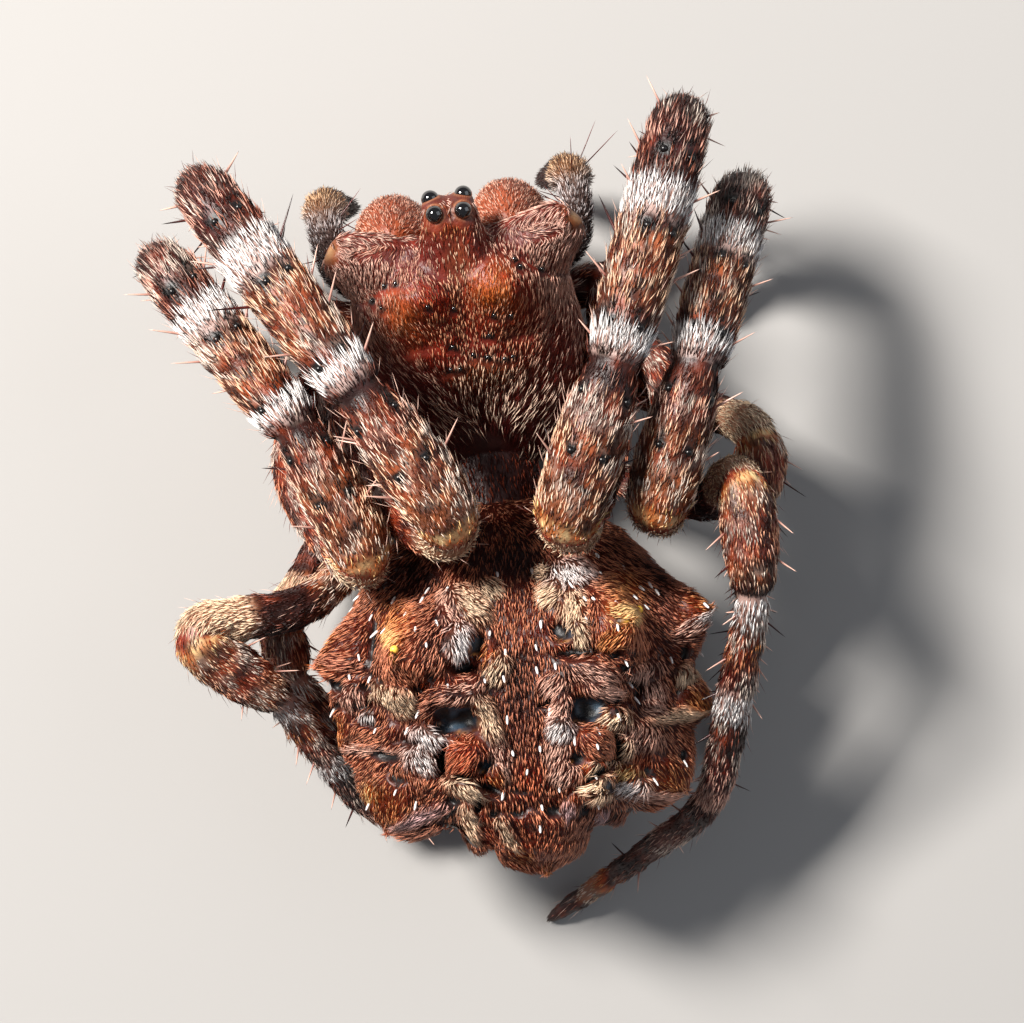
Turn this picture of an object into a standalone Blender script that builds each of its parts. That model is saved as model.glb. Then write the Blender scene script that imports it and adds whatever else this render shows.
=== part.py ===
"""Two-lobed orb weaver (Carepalxis bilobata), an adult female drawn up at rest, life size.

The model stands on its eight feet at z = 0, with the head towards +Y, the left side
towards -X and the back up. Sizes and places are millimetres in the spider's own plan,
whose Y = 0 line lies just ahead of the abdomen, and the last step moves the whole animal
so that the middle of its footprint is the origin.

Every limb is one smooth line from hip to claw, thickened by a few radii and parted at its
joints by thin cuts. The head, the abdomen and the jaws are balls drawn out by formulas,
with the horns and cones that name the species fused on.
"""

import math
import random

import bmesh
import bpy
import numpy as np
from mathutils import Matrix, Vector

MM = 0.001
FLOOR = 0.0

# Gaps between neighbouring pieces, in millimetres
JOINT_GAP = 0.22
NARROW_GAP = 0.12
EYE_GAP = 0.04

# Head and chest, the carapace
CARAPACE_MIDDLE = (0.0, 3.15, 2.9)
CARAPACE_FRONT_LENGTH = 2.05
CARAPACE_REAR_LENGTH = 2.35
CARAPACE_HALF_WIDTH = 2.2
CARAPACE_WIDEST = 0.3
CARAPACE_UNDERCUT = 0.22
CARAPACE_DEPTH = 1.6
CARAPACE_FLOOR = 1.74
FACE_SQUARENESS = 0.8
REAR_SQUARENESS = 0.45
REAR_NARROWING = 0.1
# How the middle and the top of the carapace rise towards the face
MIDDLE_RISE = 0.75
TOP_HEIGHT = 1.42
TOP_RISE = 0.7
TOP_ROUNDING = 0.2
HEAD_BUMP = (0.82, 3.95)
HEAD_BUMP_HEIGHT = 0.3
HEAD_BUMP_SPREAD = 0.46
# Groove and pit of the back: place from above, radii along x and y, depth
MIDLINE_GROOVE = ((0.0, 3.7), (0.28, 0.9), 0.14)
THORAX_PIT = ((0.0, 1.95), (0.4, 0.45), 0.3)
# Root, tip and root radius of the eye mound and of the horns beside it
EYE_MOUND = ((0.0, 4.6, 4.0), (0.0, 5.58, 5.05), 0.72)
HORN = ((1.35, 4.45, 3.85), (2.25, 5.1, 4.35), 0.72)
EYE_MOUND_PROFILE = ((0.0, 1.0), (0.5, 0.86), (0.8, 0.72), (0.95, 0.5), (1.0, 0.2))
HORN_PROFILE = ((0.0, 1.0), (0.4, 0.64), (0.75, 0.42), (0.94, 0.33), (1.0, 0.16))

# Eyes: right-hand members of each pair, mirrored for the left
EYE_RADIUS = 0.16
REAR_EYE = (0.25, 5.4, 5.04)
FRONT_EYE = (0.29, 5.7, 4.8)
SIDE_EYE_RADIUS = 0.12
SIDE_EYES = ((1.93, 5.14, 3.97), (2.03, 4.98, 3.86))

# Abdomen
ABDOMEN_MIDDLE = (0.0, -2.9, 2.8)
ABDOMEN_HALF_LENGTH = 3.32
ABDOMEN_HALF_WIDTH = 3.2
BACK_HEIGHT = 2.2
BELLY_DEPTH = 2.05
REAR_RISE = 0.45
SHOULDER_WIDENING = 0.04

# Lobes of the abdomen: tip, spread in radians, sharpness; all but the tail are mirrored
TAIL_LOBE = ((0.0, -6.42, 3.6), 0.45, 1.4)
SIDED_LOBES = {
    "shoulder": ((2.14, -1.98, 5.7), 0.44, 1.4),
    "front side": ((3.66, -2.05, 3.9), 0.42, 1.4),
    "middle side": ((3.44, -3.92, 3.15), 0.42, 1.3),
    "rear side": ((2.76, -5.32, 3.35), 0.42, 1.2),
    "low rear": ((1.3, -5.9, 2.3), 0.34, 1.2),
    "back ridge": ((1.3, -3.85, 5.2), 0.28, 1.2),
    "rear ridge": ((1.1, -5.05, 4.95), 0.28, 1.2),
}
# Dents where muscles pull on the skin of the back: place from above, depth, radius
SIDED_DENTS = (((0.64, -2.1), 0.22, 0.26), ((0.98, -3.3), 0.3, 0.36), ((0.72, -4.45), 0.2, 0.26))

# Limb thickness: radii along each segment, as shares of the leg's stoutness
SEGMENT_RADII = {
    "coxa": (0.33, 0.38, 0.4),
    "femur": (0.4, 0.46, 0.5, 0.52, 0.54, 0.56),
    "patella": (0.58, 0.62, 0.64, 0.62, 0.56, 0.46),
    "tibia": (0.46, 0.56, 0.58, 0.58, 0.56, 0.5),
    "metatarsus": (0.4, 0.37, 0.35, 0.33, 0.31, 0.3),
    "tarsus": (0.3, 0.3, 0.28, 0.26, 0.22, 0.12),
}
SEGMENTS = ("femur", "patella", "tibia", "metatarsus", "tarsus")
STOUTNESS = {1: 1.0, 2: 0.95, 3: 0.72, 4: 0.8}
# The tibiae of the two hind pairs are slender
HIND_TIBIA_SHARE = 0.72
# Rings along the femur with its hip, and along every other segment
FEMUR_RINGS = 10
SEGMENT_RINGS = 6

# Leg lines. Hips mirror; the other points are where each leg's corners lie in this pose:
# hip, knee, end of the patella, end of the tibia, end of the metatarsus, claw
HIPS = {
    1: ((0.95, 3.75, 1.15), (2.72, 4.12, 1.75)),
    2: ((1.05, 3.0, 1.15), (3.05, 2.95, 1.6)),
    3: ((1.0, 2.25, 1.15), (2.6, 2.05, 1.3)),
    4: ((0.8, 1.55, 1.15), (2.2, 0.5, 1.5)),
}
POSE = {
    ("right", 1): ((2.15, 0.95, 3.57), (0.98, -0.7, 5.6), (2.37, 2.26, 6.35),
                   (4.4, 6.84, 5.1), (3.78, 5.17, 1.2), (3.38, 4.0, 0.1)),
    ("left", 1): ((-2.13, 0.9, 3.57), (-0.42, -0.45, 5.65), (-1.91, 2.42, 6.35),
                  (-4.39, 6.78, 5.1), (-3.7, 5.38, 1.2), (-3.39, 4.13, 0.1)),
    ("right", 2): ((3.75, 1.3, 3.02), (2.56, -0.77, 5.0), (3.8, 2.08, 5.75),
                   (5.37, 5.47, 3.76), (5.0, 4.14, 1.05), (4.6, 3.06, 0.1)),
    ("left", 2): ((-3.57, 1.25, 2.68), (-2.07, -0.9, 4.74), (-3.12, 2.03, 5.15),
                  (-5.35, 5.67, 4.4), (-4.75, 4.45, 1.1), (-4.2, 3.55, 0.1)),
    ("right", 3): ((4.1, 1.5, 1.9), (4.93, 0.92, 3.35), (4.86, -0.3, 3.05),
                   (4.36, -2.35, 1.9), (3.94, -4.0, 0.75), (3.5, -5.1, 0.1)),
    ("left", 3): ((-3.1, 0.1, 1.15), (-4.2, -1.35, 2.05), (-4.07, -2.3, 2.0),
                  (-3.2, -3.95, 0.95), (-2.1, -4.4, 0.45), (-1.3, -4.1, 0.1)),
    ("right", 4): ((3.95, -0.35, 2.9), (4.42, 0.36, 5.0), (4.32, -1.9, 4.9),
                   (3.2, -5.7, 2.5), (1.22, -6.92, 0.75), (-0.1, -7.65, 0.1)),
    ("left", 4): ((-3.35, -1.1, 2.45), (-5.95, -1.1, 4.2), (-4.25, -2.62, 3.3),
                  (-2.95, -5.2, 1.0), (-0.5, -5.5, 0.5), (0.8, -5.4, 0.1)),
}
# How far before and after each corner the line starts to turn
CORNER_REACH = {"hip": 0.45, "bow": 1.2, "knee": 1.55, "patella": 0.5, "tibia": 1.1, "metatarsus": 0.35}
CORNERS = ("hip", "bow", "knee", "patella", "tibia", "metatarsus")
HIND_REACH_SHARE = 0.8

# Leg spines
SPINE_LENGTH = 0.75
SPINE_RADIUS = 0.14
SPINE_TAPER = ((0.4, 0.62), (1.0, 0.1))
SPINE_SIDES = 4
SPINE_LEAN = math.radians(52)
SPINE_SINK = 0.2
SPINE_TURN = 0.3
SPINE_SEAT = 0.92
SPINES_ON = {"patella": (0.55,), "tibia": (0.24, 0.55, 0.84), "metatarsus": (0.35, 0.7)}
ONE_SIDED_FROM_PAIR = 3
SPINE_SEED = 11

# Palps, jaws and underside
PALP_LINE = ((1.0, 4.4, 1.1), (2.2, 4.68, 1.98), (2.3, 5.88, 3.15), (2.2, 6.15, 1.6), (1.75, 6.15, 0.7))
PALP_REACH = (0.5, 0.78, 0.4)
PALP_BASE_RADII = (0.22, 0.26, 0.3, 0.31)
PALP_TIP_RADII = (0.31, 0.4, 0.38, 0.32, 0.25, 0.13)
JAW_MIDDLE = (1.04, 5.2, 2.6)
JAW_HALF_SIZE = (0.79, 0.72, 1.58)
# A swelling on the front: how far, at what share of the height, how tall
JAW_BULGE = (0.22, 0.45, 0.5)
JAW_UNDERCUT = 0.18
FANG_LINE = ((0.92, 5.3, 0.92), (0.9, 5.26, 0.55), (0.58, 5.16, 0.38), (0.22, 5.06, 0.4))
FANG_RADII = (0.16, 0.15, 0.11, 0.03)
FANG_REACH = 0.14
STERNUM_MIDDLE = (0.0, 2.66, 1.1)
STERNUM_HALF_SIZE = (0.62, 1.12, 0.4)
MOUTH_MIDDLE = (0.0, 4.28, 1.25)
MOUTH_HALF_SIZE = (0.62, 0.38, 0.42)
PLATE_FLATNESS = 0.8
PEDICEL_LINE = ((0.0, 0.69, 2.12), (0.0, 0.53, 2.2))
PEDICEL_RADIUS = 0.3
SPINNERETS_AT = (0.0, -4.1, 0.7)
SPINNERET_MOUND = (0.5, 0.5, 0.2)
SPINNERET_SPREAD = 0.26
SPINNERET_LENGTH = 0.42
SPINNERET_RADIUS = 0.21
SPINNERET_PROFILE = ((0.0, 1.0), (0.35, 0.8), (0.62, 0.47), (0.86, 0.19))
# How far the nipples lean in across, and the front and rear pairs along
SPINNERET_LEANS = (0.1, (0.1, -0.35))

COLOURS = {
    "cuticle": ((0.33, 0.12, 0.06), 0.6),
    "abdomen": ((0.3, 0.13, 0.07), 0.65),
    "legs": ((0.5, 0.3, 0.2), 0.6),
    "jaws": ((0.55, 0.22, 0.09), 0.5),
    "underside": ((0.2, 0.1, 0.06), 0.6),
    "eyes": ((0.01, 0.01, 0.012), 0.08),
    "fangs": ((0.08, 0.03, 0.02), 0.3),
}


def finish(name):
    """One Principled material for a kind of surface, made once."""
    found = bpy.data.materials.get(name)
    if found:
        return found
    colour, roughness = COLOURS[name]
    made = bpy.data.materials.new(name)
    made.use_nodes = True
    shader = made.node_tree.nodes["Principled BSDF"]
    shader.inputs["Base Color"].default_value = (*colour, 1.0)
    shader.inputs["Roughness"].default_value = roughness
    shader.inputs["Metallic"].default_value = 0.0
    return made


def mirrored(point, side):
    """The point on the left or right side, from the one on the right."""
    return (-point[0] if side == "left" else point[0], *point[1:])


def place(name, mesh, root, kind, animal):
    """Links a mesh drawn in millimetres as an object whose origin is its root point."""
    mesh.transform(Matrix.Translation(-Vector(root)))
    mesh.transform(Matrix.Scale(MM, 4))
    mesh.materials.clear()
    mesh.materials.append(finish(kind))
    piece = bpy.data.objects.new(name, mesh)
    piece.location = Vector(root) * MM
    piece.parent = animal
    bpy.context.scene.collection.objects.link(piece)
    mesh.shade_smooth()
    mesh.set_sharp_from_angle(angle=math.radians(50))
    return piece


def rounded_line(points, reaches, steps=5):
    """Points along a polyline with its corners turned into parabolas, and each corner's middle index."""
    points = [Vector(p) for p in points]
    line, middles = [points[0]], []
    for before, corner, after, reach in zip(points, points[1:], points[2:], reaches):
        reach = min(reach, 0.48 * (before - corner).length, 0.48 * (after - corner).length)
        start = corner + (before - corner).normalized() * reach
        end = corner + (after - corner).normalized() * reach
        for step in range(2 * steps + 1):
            t = step / (2 * steps)
            line.append(start.lerp(corner, t).lerp(corner.lerp(end, t), t))
        middles.append(len(line) - 1 - steps)
    line.append(points[-1])
    return line, middles


def stretch(line, first, last, count, gap_first=0.0):
    """Evenly spaced points along part of a line, kept a gap away from its first end."""
    part = line[first:last + 1]
    lengths = [0.0]
    for a, b in zip(part, part[1:]):
        lengths.append(lengths[-1] + (b - a).length)
    found = []
    for i in range(count):
        wanted = gap_first + (lengths[-1] - gap_first) * i / (count - 1)
        k = max(j for j, done in enumerate(lengths) if done <= wanted + 1e-9)
        k = min(k, len(part) - 2)
        share = (wanted - lengths[k]) / max(lengths[k + 1] - lengths[k], 1e-9)
        found.append(part[k].lerp(part[k + 1], share))
    return found


def spread_radii(radii, count):
    """The radii read off at count even steps."""
    return np.interp(np.linspace(0, 1, count), np.linspace(0, 1, len(radii)), radii)


def tube(line, radii, resolution=3):
    """A closed mesh tube along a line: a bevelled curve with filled caps, turned into a mesh."""
    curve = bpy.data.curves.new("tube", "CURVE")
    curve.dimensions = "3D"
    curve.bevel_depth = 1.0
    curve.bevel_resolution = resolution
    curve.use_fill_caps = True
    spline = curve.splines.new("POLY")
    spline.points.add(len(line) - 1)
    for point, centre, radius in zip(spline.points, line, radii):
        point.co = (*centre, 1.0)
        point.radius = radius
    holder = bpy.data.objects.new("tube", curve)
    bpy.context.scene.collection.objects.link(holder)
    seen = bpy.context.evaluated_depsgraph_get()
    mesh = bpy.data.meshes.new_from_object(holder.evaluated_get(seen))
    bpy.data.objects.remove(holder)
    shape = bmesh.new()
    shape.from_mesh(mesh)
    bmesh.ops.remove_doubles(shape, verts=shape.verts, dist=1e-4)
    bmesh.ops.recalc_face_normals(shape, faces=shape.faces)
    shape.to_mesh(mesh)
    shape.free()
    return mesh


def ball(level, shape_of):
    """An icosphere whose unit directions are moved all at once by shape_of, an array formula."""
    shape = bmesh.new()
    bmesh.ops.create_icosphere(shape, subdivisions=level, radius=1.0)
    directions = np.array([v.co[:] for v in shape.verts])
    directions /= np.linalg.norm(directions, axis=1)[:, None]
    for vert, place_at in zip(shape.verts, shape_of(directions)):
        vert.co = place_at
    bmesh.ops.recalc_face_normals(shape, faces=shape.faces)
    mesh = bpy.data.meshes.new("ball")
    shape.to_mesh(mesh)
    shape.free()
    return mesh


def joint_face(mesh, line, middle, gap, keep):
    """Trims a tube at a joint, flat across the line; keep is 1 for what follows the joint, else -1."""
    normal = (line[middle + 1] - line[middle - 1]).normalized() * keep
    shape = bmesh.new()
    shape.from_mesh(mesh)
    everything = shape.verts[:] + shape.edges[:] + shape.faces[:]
    cut = bmesh.ops.bisect_plane(
        shape, geom=everything, plane_co=line[middle] + normal * gap / 2, plane_no=normal, clear_inner=True)
    rim = [part for part in cut["geom_cut"] if isinstance(part, bmesh.types.BMEdge)]
    bmesh.ops.contextual_create(shape, geom=rim)
    bmesh.ops.recalc_face_normals(shape, faces=shape.faces)
    shape.to_mesh(mesh)
    shape.free()
    return mesh


def turned_cone(root, tip, radius, profile, sides):
    """A round cone from root to tip; its profile pairs shares of its length with shares of its radius."""
    root, tip = Vector(root), Vector(tip)
    line = [root.lerp(tip, share) for share, _ in profile]
    return tube(line, [radius * share for _, share in profile], resolution=(sides - 4) // 2)


def spine(root, direction):
    """One tapered leg spine, its root sunk into the leg."""
    line = [root - direction * SPINE_SINK]
    line += [root + direction * SPINE_LENGTH * along for along, _ in SPINE_TAPER]
    radii = [SPINE_RADIUS] + [SPINE_RADIUS * share for _, share in SPINE_TAPER]
    return tube(line, radii, resolution=(SPINE_SIDES - 4) // 2)


def combine(base, others, operation, solver="EXACT"):
    """One Boolean of base with a collection of closed meshes, of which the largest surface is kept."""
    group = bpy.data.collections.new("joining")
    bpy.context.scene.collection.children.link(group)
    for mesh in others:
        group.objects.link(bpy.data.objects.new("joining", mesh))
    holder = bpy.data.objects.new("base", base)
    bpy.context.scene.collection.objects.link(holder)
    boolean = holder.modifiers.new("join", "BOOLEAN")
    boolean.operation = operation
    boolean.operand_type = "COLLECTION"
    boolean.collection = group
    boolean.solver = solver
    seen = bpy.context.evaluated_depsgraph_get()
    mesh = bpy.data.meshes.new_from_object(holder.evaluated_get(seen))
    for piece in list(group.objects):
        bpy.data.objects.remove(piece)
    bpy.data.collections.remove(group)
    bpy.data.objects.remove(holder)
    return largest_surface(mesh)


def largest_surface(mesh):
    """Deletes every closed surface of the mesh but the one with the most room in it."""
    shape = bmesh.new()
    shape.from_mesh(mesh)
    shape.verts.ensure_lookup_table()
    waiting, islands = set(shape.verts), []
    while waiting:
        front, island = [waiting.pop()], []
        while front:
            vert = front.pop()
            island.append(vert)
            for edge in vert.link_edges:
                other = edge.other_vert(vert)
                if other in waiting:
                    waiting.remove(other)
                    front.append(other)
        islands.append(island)

    def room(island):
        spans = np.ptp(np.array([v.co[:] for v in island]), axis=0)
        return float(np.prod(spans))

    islands.sort(key=room, reverse=True)
    spare = [v for island in islands[1:] for v in island]
    bmesh.ops.delete(shape, geom=spare, context="VERTS")
    shape.to_mesh(mesh)
    shape.free()
    return mesh


def carapace_shape(n):
    """Head and chest: wide and square in front, high over the eyes, sloping down to the waist."""
    front, rear, top = np.clip(n[:, 1], 0, 1), np.clip(-n[:, 1], 0, 1), n[:, 2] > 0
    x = CARAPACE_HALF_WIDTH * n[:, 0] * (1 + FACE_SQUARENESS * front ** 3 + REAR_SQUARENESS * rear ** 3)
    x *= (1 - REAR_NARROWING * rear) * (1 - CARAPACE_UNDERCUT * np.clip(CARAPACE_WIDEST - n[:, 2], 0, 1))
    y = CARAPACE_MIDDLE[1] + np.where(n[:, 1] > 0, CARAPACE_FRONT_LENGTH, CARAPACE_REAR_LENGTH) * n[:, 1]
    height = TOP_HEIGHT + TOP_RISE * n[:, 1] - TOP_ROUNDING * n[:, 1] ** 2
    z = CARAPACE_MIDDLE[2] + MIDDLE_RISE * n[:, 1] + np.where(top, height, CARAPACE_DEPTH) * n[:, 2]
    for bump_x in (-HEAD_BUMP[0], HEAD_BUMP[0]):
        distance = np.hypot(x - bump_x, y - HEAD_BUMP[1]) / HEAD_BUMP_SPREAD
        z += HEAD_BUMP_HEIGHT * np.exp(-distance ** 2) * top
    for middle, radii, depth in (MIDLINE_GROOVE, THORAX_PIT):
        here = np.exp(-((x - middle[0]) / radii[0]) ** 2 - ((y - middle[1]) / radii[1]) ** 2)
        z -= depth * here * top
    return np.stack([x, y, np.maximum(z, CARAPACE_FLOOR)], axis=1)


def abdomen_cushion(n):
    """Abdomen without lobes: a broad rounded cushion with its rear end raised."""
    x = ABDOMEN_HALF_WIDTH * n[:, 0] * (1 + SHOULDER_WIDENING * n[:, 1])
    y = ABDOMEN_MIDDLE[1] + ABDOMEN_HALF_LENGTH * n[:, 1]
    middle = ABDOMEN_MIDDLE[2] - REAR_RISE * n[:, 1]
    z = middle + np.where(n[:, 2] > 0, BACK_HEIGHT, BELLY_DEPTH) * n[:, 2]
    return np.stack([x, y, z], axis=1)


def abdomen_shape(n):
    """Abdomen: the cushion drawn out to the tip of each lobe, and dented on the back."""
    places = abdomen_cushion(n)
    half_size = np.array((ABDOMEN_HALF_WIDTH, ABDOMEN_HALF_LENGTH, BACK_HEIGHT))
    lobes = [TAIL_LOBE]
    for tip, spread, sharpness in SIDED_LOBES.values():
        lobes += [(mirrored(tip, side), spread, sharpness) for side in ("left", "right")]
    drawn = places.copy()
    for tip, spread, sharpness in lobes:
        towards = (np.array(tip) - ABDOMEN_MIDDLE) / half_size
        towards /= np.linalg.norm(towards)
        pull = np.array(tip) - abdomen_cushion(towards[None])[0]
        angle = np.arccos(np.clip(n @ towards, -1, 1))
        drawn += np.clip(1 - angle / spread, 0, 1)[:, None] ** sharpness * pull
    for (x, y), depth, radius in SIDED_DENTS:
        for sign in (-1, 1):
            distance = np.hypot(places[:, 0] - sign * x, places[:, 1] - y) / radius
            drawn[:, 2] -= depth * np.exp(-distance ** 2) * (n[:, 2] > 0)
    return drawn


def jaw_shape(side, grow=0.0):
    """One chelicera: an upright egg that bulges forward near its top and narrows to the fang."""
    def shape(n):
        half = np.array(JAW_HALF_SIZE) + grow
        far, at, tall = JAW_BULGE
        x = half[0] * n[:, 0] * (1 - JAW_UNDERCUT * np.clip(-n[:, 2], 0, 1))
        y = half[1] * n[:, 1] + far * np.exp(-((n[:, 2] - at) / tall) ** 2) * n[:, 1]
        z = half[2] * n[:, 2]
        middle = mirrored(JAW_MIDDLE, side)
        return np.stack([x, y, z], axis=1) + np.array(middle)
    return shape


def egg(middle, half_size, flat_top=1.0):
    """A plain rounded body with a flattened top."""
    def shape(n):
        places = n * np.array(half_size)
        places[:, 2] = np.minimum(places[:, 2], half_size[2] * flat_top)
        return places + np.array(middle)
    return shape


def build_head(animal):
    """Carapace with its horns and eye mound, the eyes in sockets, and room in front for the jaws."""
    parts = [turned_cone(*EYE_MOUND, EYE_MOUND_PROFILE, 12)]
    root, tip, radius = HORN
    for side in ("left", "right"):
        parts.append(turned_cone(mirrored(root, side), mirrored(tip, side), radius, HORN_PROFILE, 10))
    solid = combine(ball(4, carapace_shape), parts, "UNION")
    eyes = {}
    for side in ("left", "right"):
        eyes[f"eye_rear_{side}"] = [(mirrored(REAR_EYE, side), EYE_RADIUS)]
        eyes[f"eye_front_{side}"] = [(mirrored(FRONT_EYE, side), EYE_RADIUS)]
        eyes[f"eyes_side_{side}"] = [(mirrored(p, side), SIDE_EYE_RADIUS) for p in SIDE_EYES]
    sockets = [
        ball(2, egg(middle, (radius + EYE_GAP,) * 3)) for group in eyes.values() for middle, radius in group
    ]
    sockets += [ball(3, jaw_shape(side, grow=NARROW_GAP)) for side in ("left", "right")]
    solid = combine(solid, sockets, "DIFFERENCE")
    place("carapace", solid, CARAPACE_MIDDLE, "cuticle", animal)
    for name, group in eyes.items():
        balls = [ball(2, egg(middle, (radius,) * 3)) for middle, radius in group]
        eye = combine(balls[0], balls[1:], "UNION") if len(balls) > 1 else balls[0]
        place(name, eye, group[0][0], "eyes", animal)


def build_jaws(animal):
    """Two chelicerae, each with a fang folded inward below it."""
    for side in ("left", "right"):
        place(f"chelicera_{side}", ball(3, jaw_shape(side)), mirrored(JAW_MIDDLE, side), "jaws", animal)
        corners = [mirrored(p, side) for p in FANG_LINE]
        line, _ = rounded_line(corners, (FANG_REACH, FANG_REACH), steps=2)
        part = stretch(line, 0, len(line) - 1, 8)
        place(f"fang_{side}", tube(part, spread_radii(FANG_RADII, 8)), corners[0], "fangs", animal)


def build_palps(animal):
    """Two palps, each a base that climbs beside the jaw and a tip that hangs from its knee."""
    for side in ("left", "right"):
        corners = [mirrored(p, side) for p in PALP_LINE]
        line, middles = rounded_line(corners, PALP_REACH)
        base = tube(stretch(line, 0, middles[1], 9), spread_radii(PALP_BASE_RADII, 9))
        tip = tube(stretch(line, middles[1], len(line) - 1, 10), spread_radii(PALP_TIP_RADII, 10))
        joint_face(base, line, middles[1], NARROW_GAP, -1)
        joint_face(tip, line, middles[1], NARROW_GAP, 1)
        place(f"palp_base_{side}", base, corners[0], "legs", animal)
        place(f"palp_tip_{side}", tip, line[middles[1]], "legs", animal)


def build_underside(animal):
    """Breast plate, mouth plates and the waist between chest and abdomen."""
    plates = {"sternum": (STERNUM_MIDDLE, STERNUM_HALF_SIZE), "mouthparts": (MOUTH_MIDDLE, MOUTH_HALF_SIZE)}
    for name, (middle, half_size) in plates.items():
        place(name, ball(3, egg(middle, half_size, PLATE_FLATNESS)), middle, "underside", animal)
    waist = tube([Vector(p) for p in PEDICEL_LINE], (PEDICEL_RADIUS, PEDICEL_RADIUS))
    place("pedicel", waist, PEDICEL_LINE[0], "underside", animal)


def build_abdomen(animal):
    """Abdomen with its lobes, and the spinnerets below its rear end."""
    place("abdomen", ball(5, abdomen_shape), ABDOMEN_MIDDLE, "abdomen", animal)
    middle = Vector(SPINNERETS_AT)
    mound = ball(2, egg(middle, SPINNERET_MOUND))
    nipples = []
    across, along = SPINNERET_LEANS
    for y, lean in zip((1, -1), along):
        for x in (1, -1):
            root = middle + Vector((x, y, 0)) * SPINNERET_SPREAD
            tip = root + Vector((-x * across, lean, -1)).normalized() * SPINNERET_LENGTH
            nipples.append(turned_cone(root, tip, SPINNERET_RADIUS, SPINNERET_PROFILE, 8))
    place("spinnerets", combine(mound, nipples, "UNION"), middle, "underside", animal)


def with_spines(mesh, line, radii, segment, outward, draw):
    """Fuses spines to both sides of a leg segment, or to the outward one, leaning towards the claw."""
    spines = []
    for share in SPINES_ON[segment]:
        k = int(share * (len(line) - 1))
        along = (line[min(k + 1, len(line) - 1)] - line[k - 1]).normalized()
        across = along.cross(Vector((0, 0, 1))).normalized()
        for out in (across, -across):
            if outward * out.x < 0:
                continue
            out = Matrix.Rotation(draw.uniform(-SPINE_TURN, SPINE_TURN), 3, along) @ out
            direction = (out * math.sin(SPINE_LEAN) + along * math.cos(SPINE_LEAN)).normalized()
            spines.append(spine(line[k] + out * radii[k] * SPINE_SEAT, direction))
    return combine(mesh, spines, "UNION")


def build_leg(side, pair, animal, draw):
    """One leg: hip and femur, patella, tibia, metatarsus and tarsus, cut apart at the joints."""
    hip = [mirrored(p, side) for p in HIPS[pair]]
    corners = [*hip, *POSE[side, pair]]
    share = HIND_REACH_SHARE if pair > 2 else 1.0
    line, middles = rounded_line(corners, [CORNER_REACH[corner] * share for corner in CORNERS])
    cuts = [0, *middles[2:], len(line) - 1]
    for segment, first, last in zip(SEGMENTS, cuts, cuts[1:]):
        radii, count, stoutness = SEGMENT_RADII[segment], SEGMENT_RINGS, STOUTNESS[pair]
        if segment == "femur":
            radii, count = SEGMENT_RADII["coxa"] + radii, FEMUR_RINGS
        if segment == "tibia" and pair > 2:
            stoutness *= HIND_TIBIA_SHARE
        radii = spread_radii(radii, count) * stoutness
        part = stretch(line, first, last, count, NARROW_GAP if first == 0 else 0.0)
        mesh = tube(part, radii, resolution=2)
        if first > 0:
            joint_face(mesh, line, first, JOINT_GAP, 1)
        if last < len(line) - 1:
            joint_face(mesh, line, last, JOINT_GAP, -1)
        if segment in SPINES_ON:
            outward = 0 if pair < ONE_SIDED_FROM_PAIR else mirrored((1, 0, 0), side)[0]
            mesh = with_spines(mesh, part, radii, segment, outward, draw)
        for vert in mesh.vertices:
            vert.co.z = max(vert.co.z, FLOOR)
        place(f"{segment}_{side}_{pair}", mesh, part[0], "legs", animal)


def centre_on_origin(animal):
    """Moves the animal so that the middle of its bounding box stands over the origin, its feet at z = 0."""
    bpy.context.view_layer.update()
    corners = np.array([
        piece.matrix_world @ vert.co for piece in animal.children for vert in piece.data.vertices
    ])
    low, high = corners.min(axis=0), corners.max(axis=0)
    animal.location = (-(low[0] + high[0]) / 2, -(low[1] + high[1]) / 2, -low[2])


def main():
    for thing in list(bpy.data.objects):
        bpy.data.objects.remove(thing)
    animal = bpy.data.objects.new("spider", None)
    bpy.context.scene.collection.objects.link(animal)
    draw = random.Random(SPINE_SEED)
    build_head(animal)
    build_jaws(animal)
    build_palps(animal)
    build_underside(animal)
    build_abdomen(animal)
    for side, pair in POSE:
        build_leg(side, pair, animal, draw)
    centre_on_origin(animal)


main()
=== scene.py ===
# %% [markdown]
# The animal is a two-lobed orb weaver, twelve millimetres long, crouched with its front legs
# drawn up beside its head. The frame brings in its solids: one for each segment of each leg,
# the head, the jaws, the eyes and the abdomen. Everything below is worked out in millimetres
# in the spider's own plan and moved onto the frame at the end, because sizes near one are
# easier to read than thousandths of a metre. One eye tells how far the plan and the frame
# lie apart.

# %% The frame and its units
import math

import bpy
import numpy as np
from mathutils import Matrix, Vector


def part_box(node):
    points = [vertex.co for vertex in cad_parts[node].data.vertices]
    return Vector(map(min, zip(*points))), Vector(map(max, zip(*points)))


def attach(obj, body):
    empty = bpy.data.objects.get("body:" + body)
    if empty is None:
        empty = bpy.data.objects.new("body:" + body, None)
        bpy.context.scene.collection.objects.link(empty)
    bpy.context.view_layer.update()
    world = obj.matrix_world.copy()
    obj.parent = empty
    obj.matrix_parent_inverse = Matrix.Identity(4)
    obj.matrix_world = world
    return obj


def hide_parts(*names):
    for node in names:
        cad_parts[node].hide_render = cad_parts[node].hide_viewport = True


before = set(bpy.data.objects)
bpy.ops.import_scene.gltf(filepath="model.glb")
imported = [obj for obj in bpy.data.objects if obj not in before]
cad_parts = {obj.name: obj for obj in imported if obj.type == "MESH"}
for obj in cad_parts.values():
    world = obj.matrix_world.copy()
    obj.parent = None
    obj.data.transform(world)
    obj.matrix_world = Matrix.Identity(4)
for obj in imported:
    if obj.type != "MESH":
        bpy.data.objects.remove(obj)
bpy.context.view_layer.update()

MM = 0.001
REAR_EYE = np.array((0.25, 5.4, 5.04))
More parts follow.
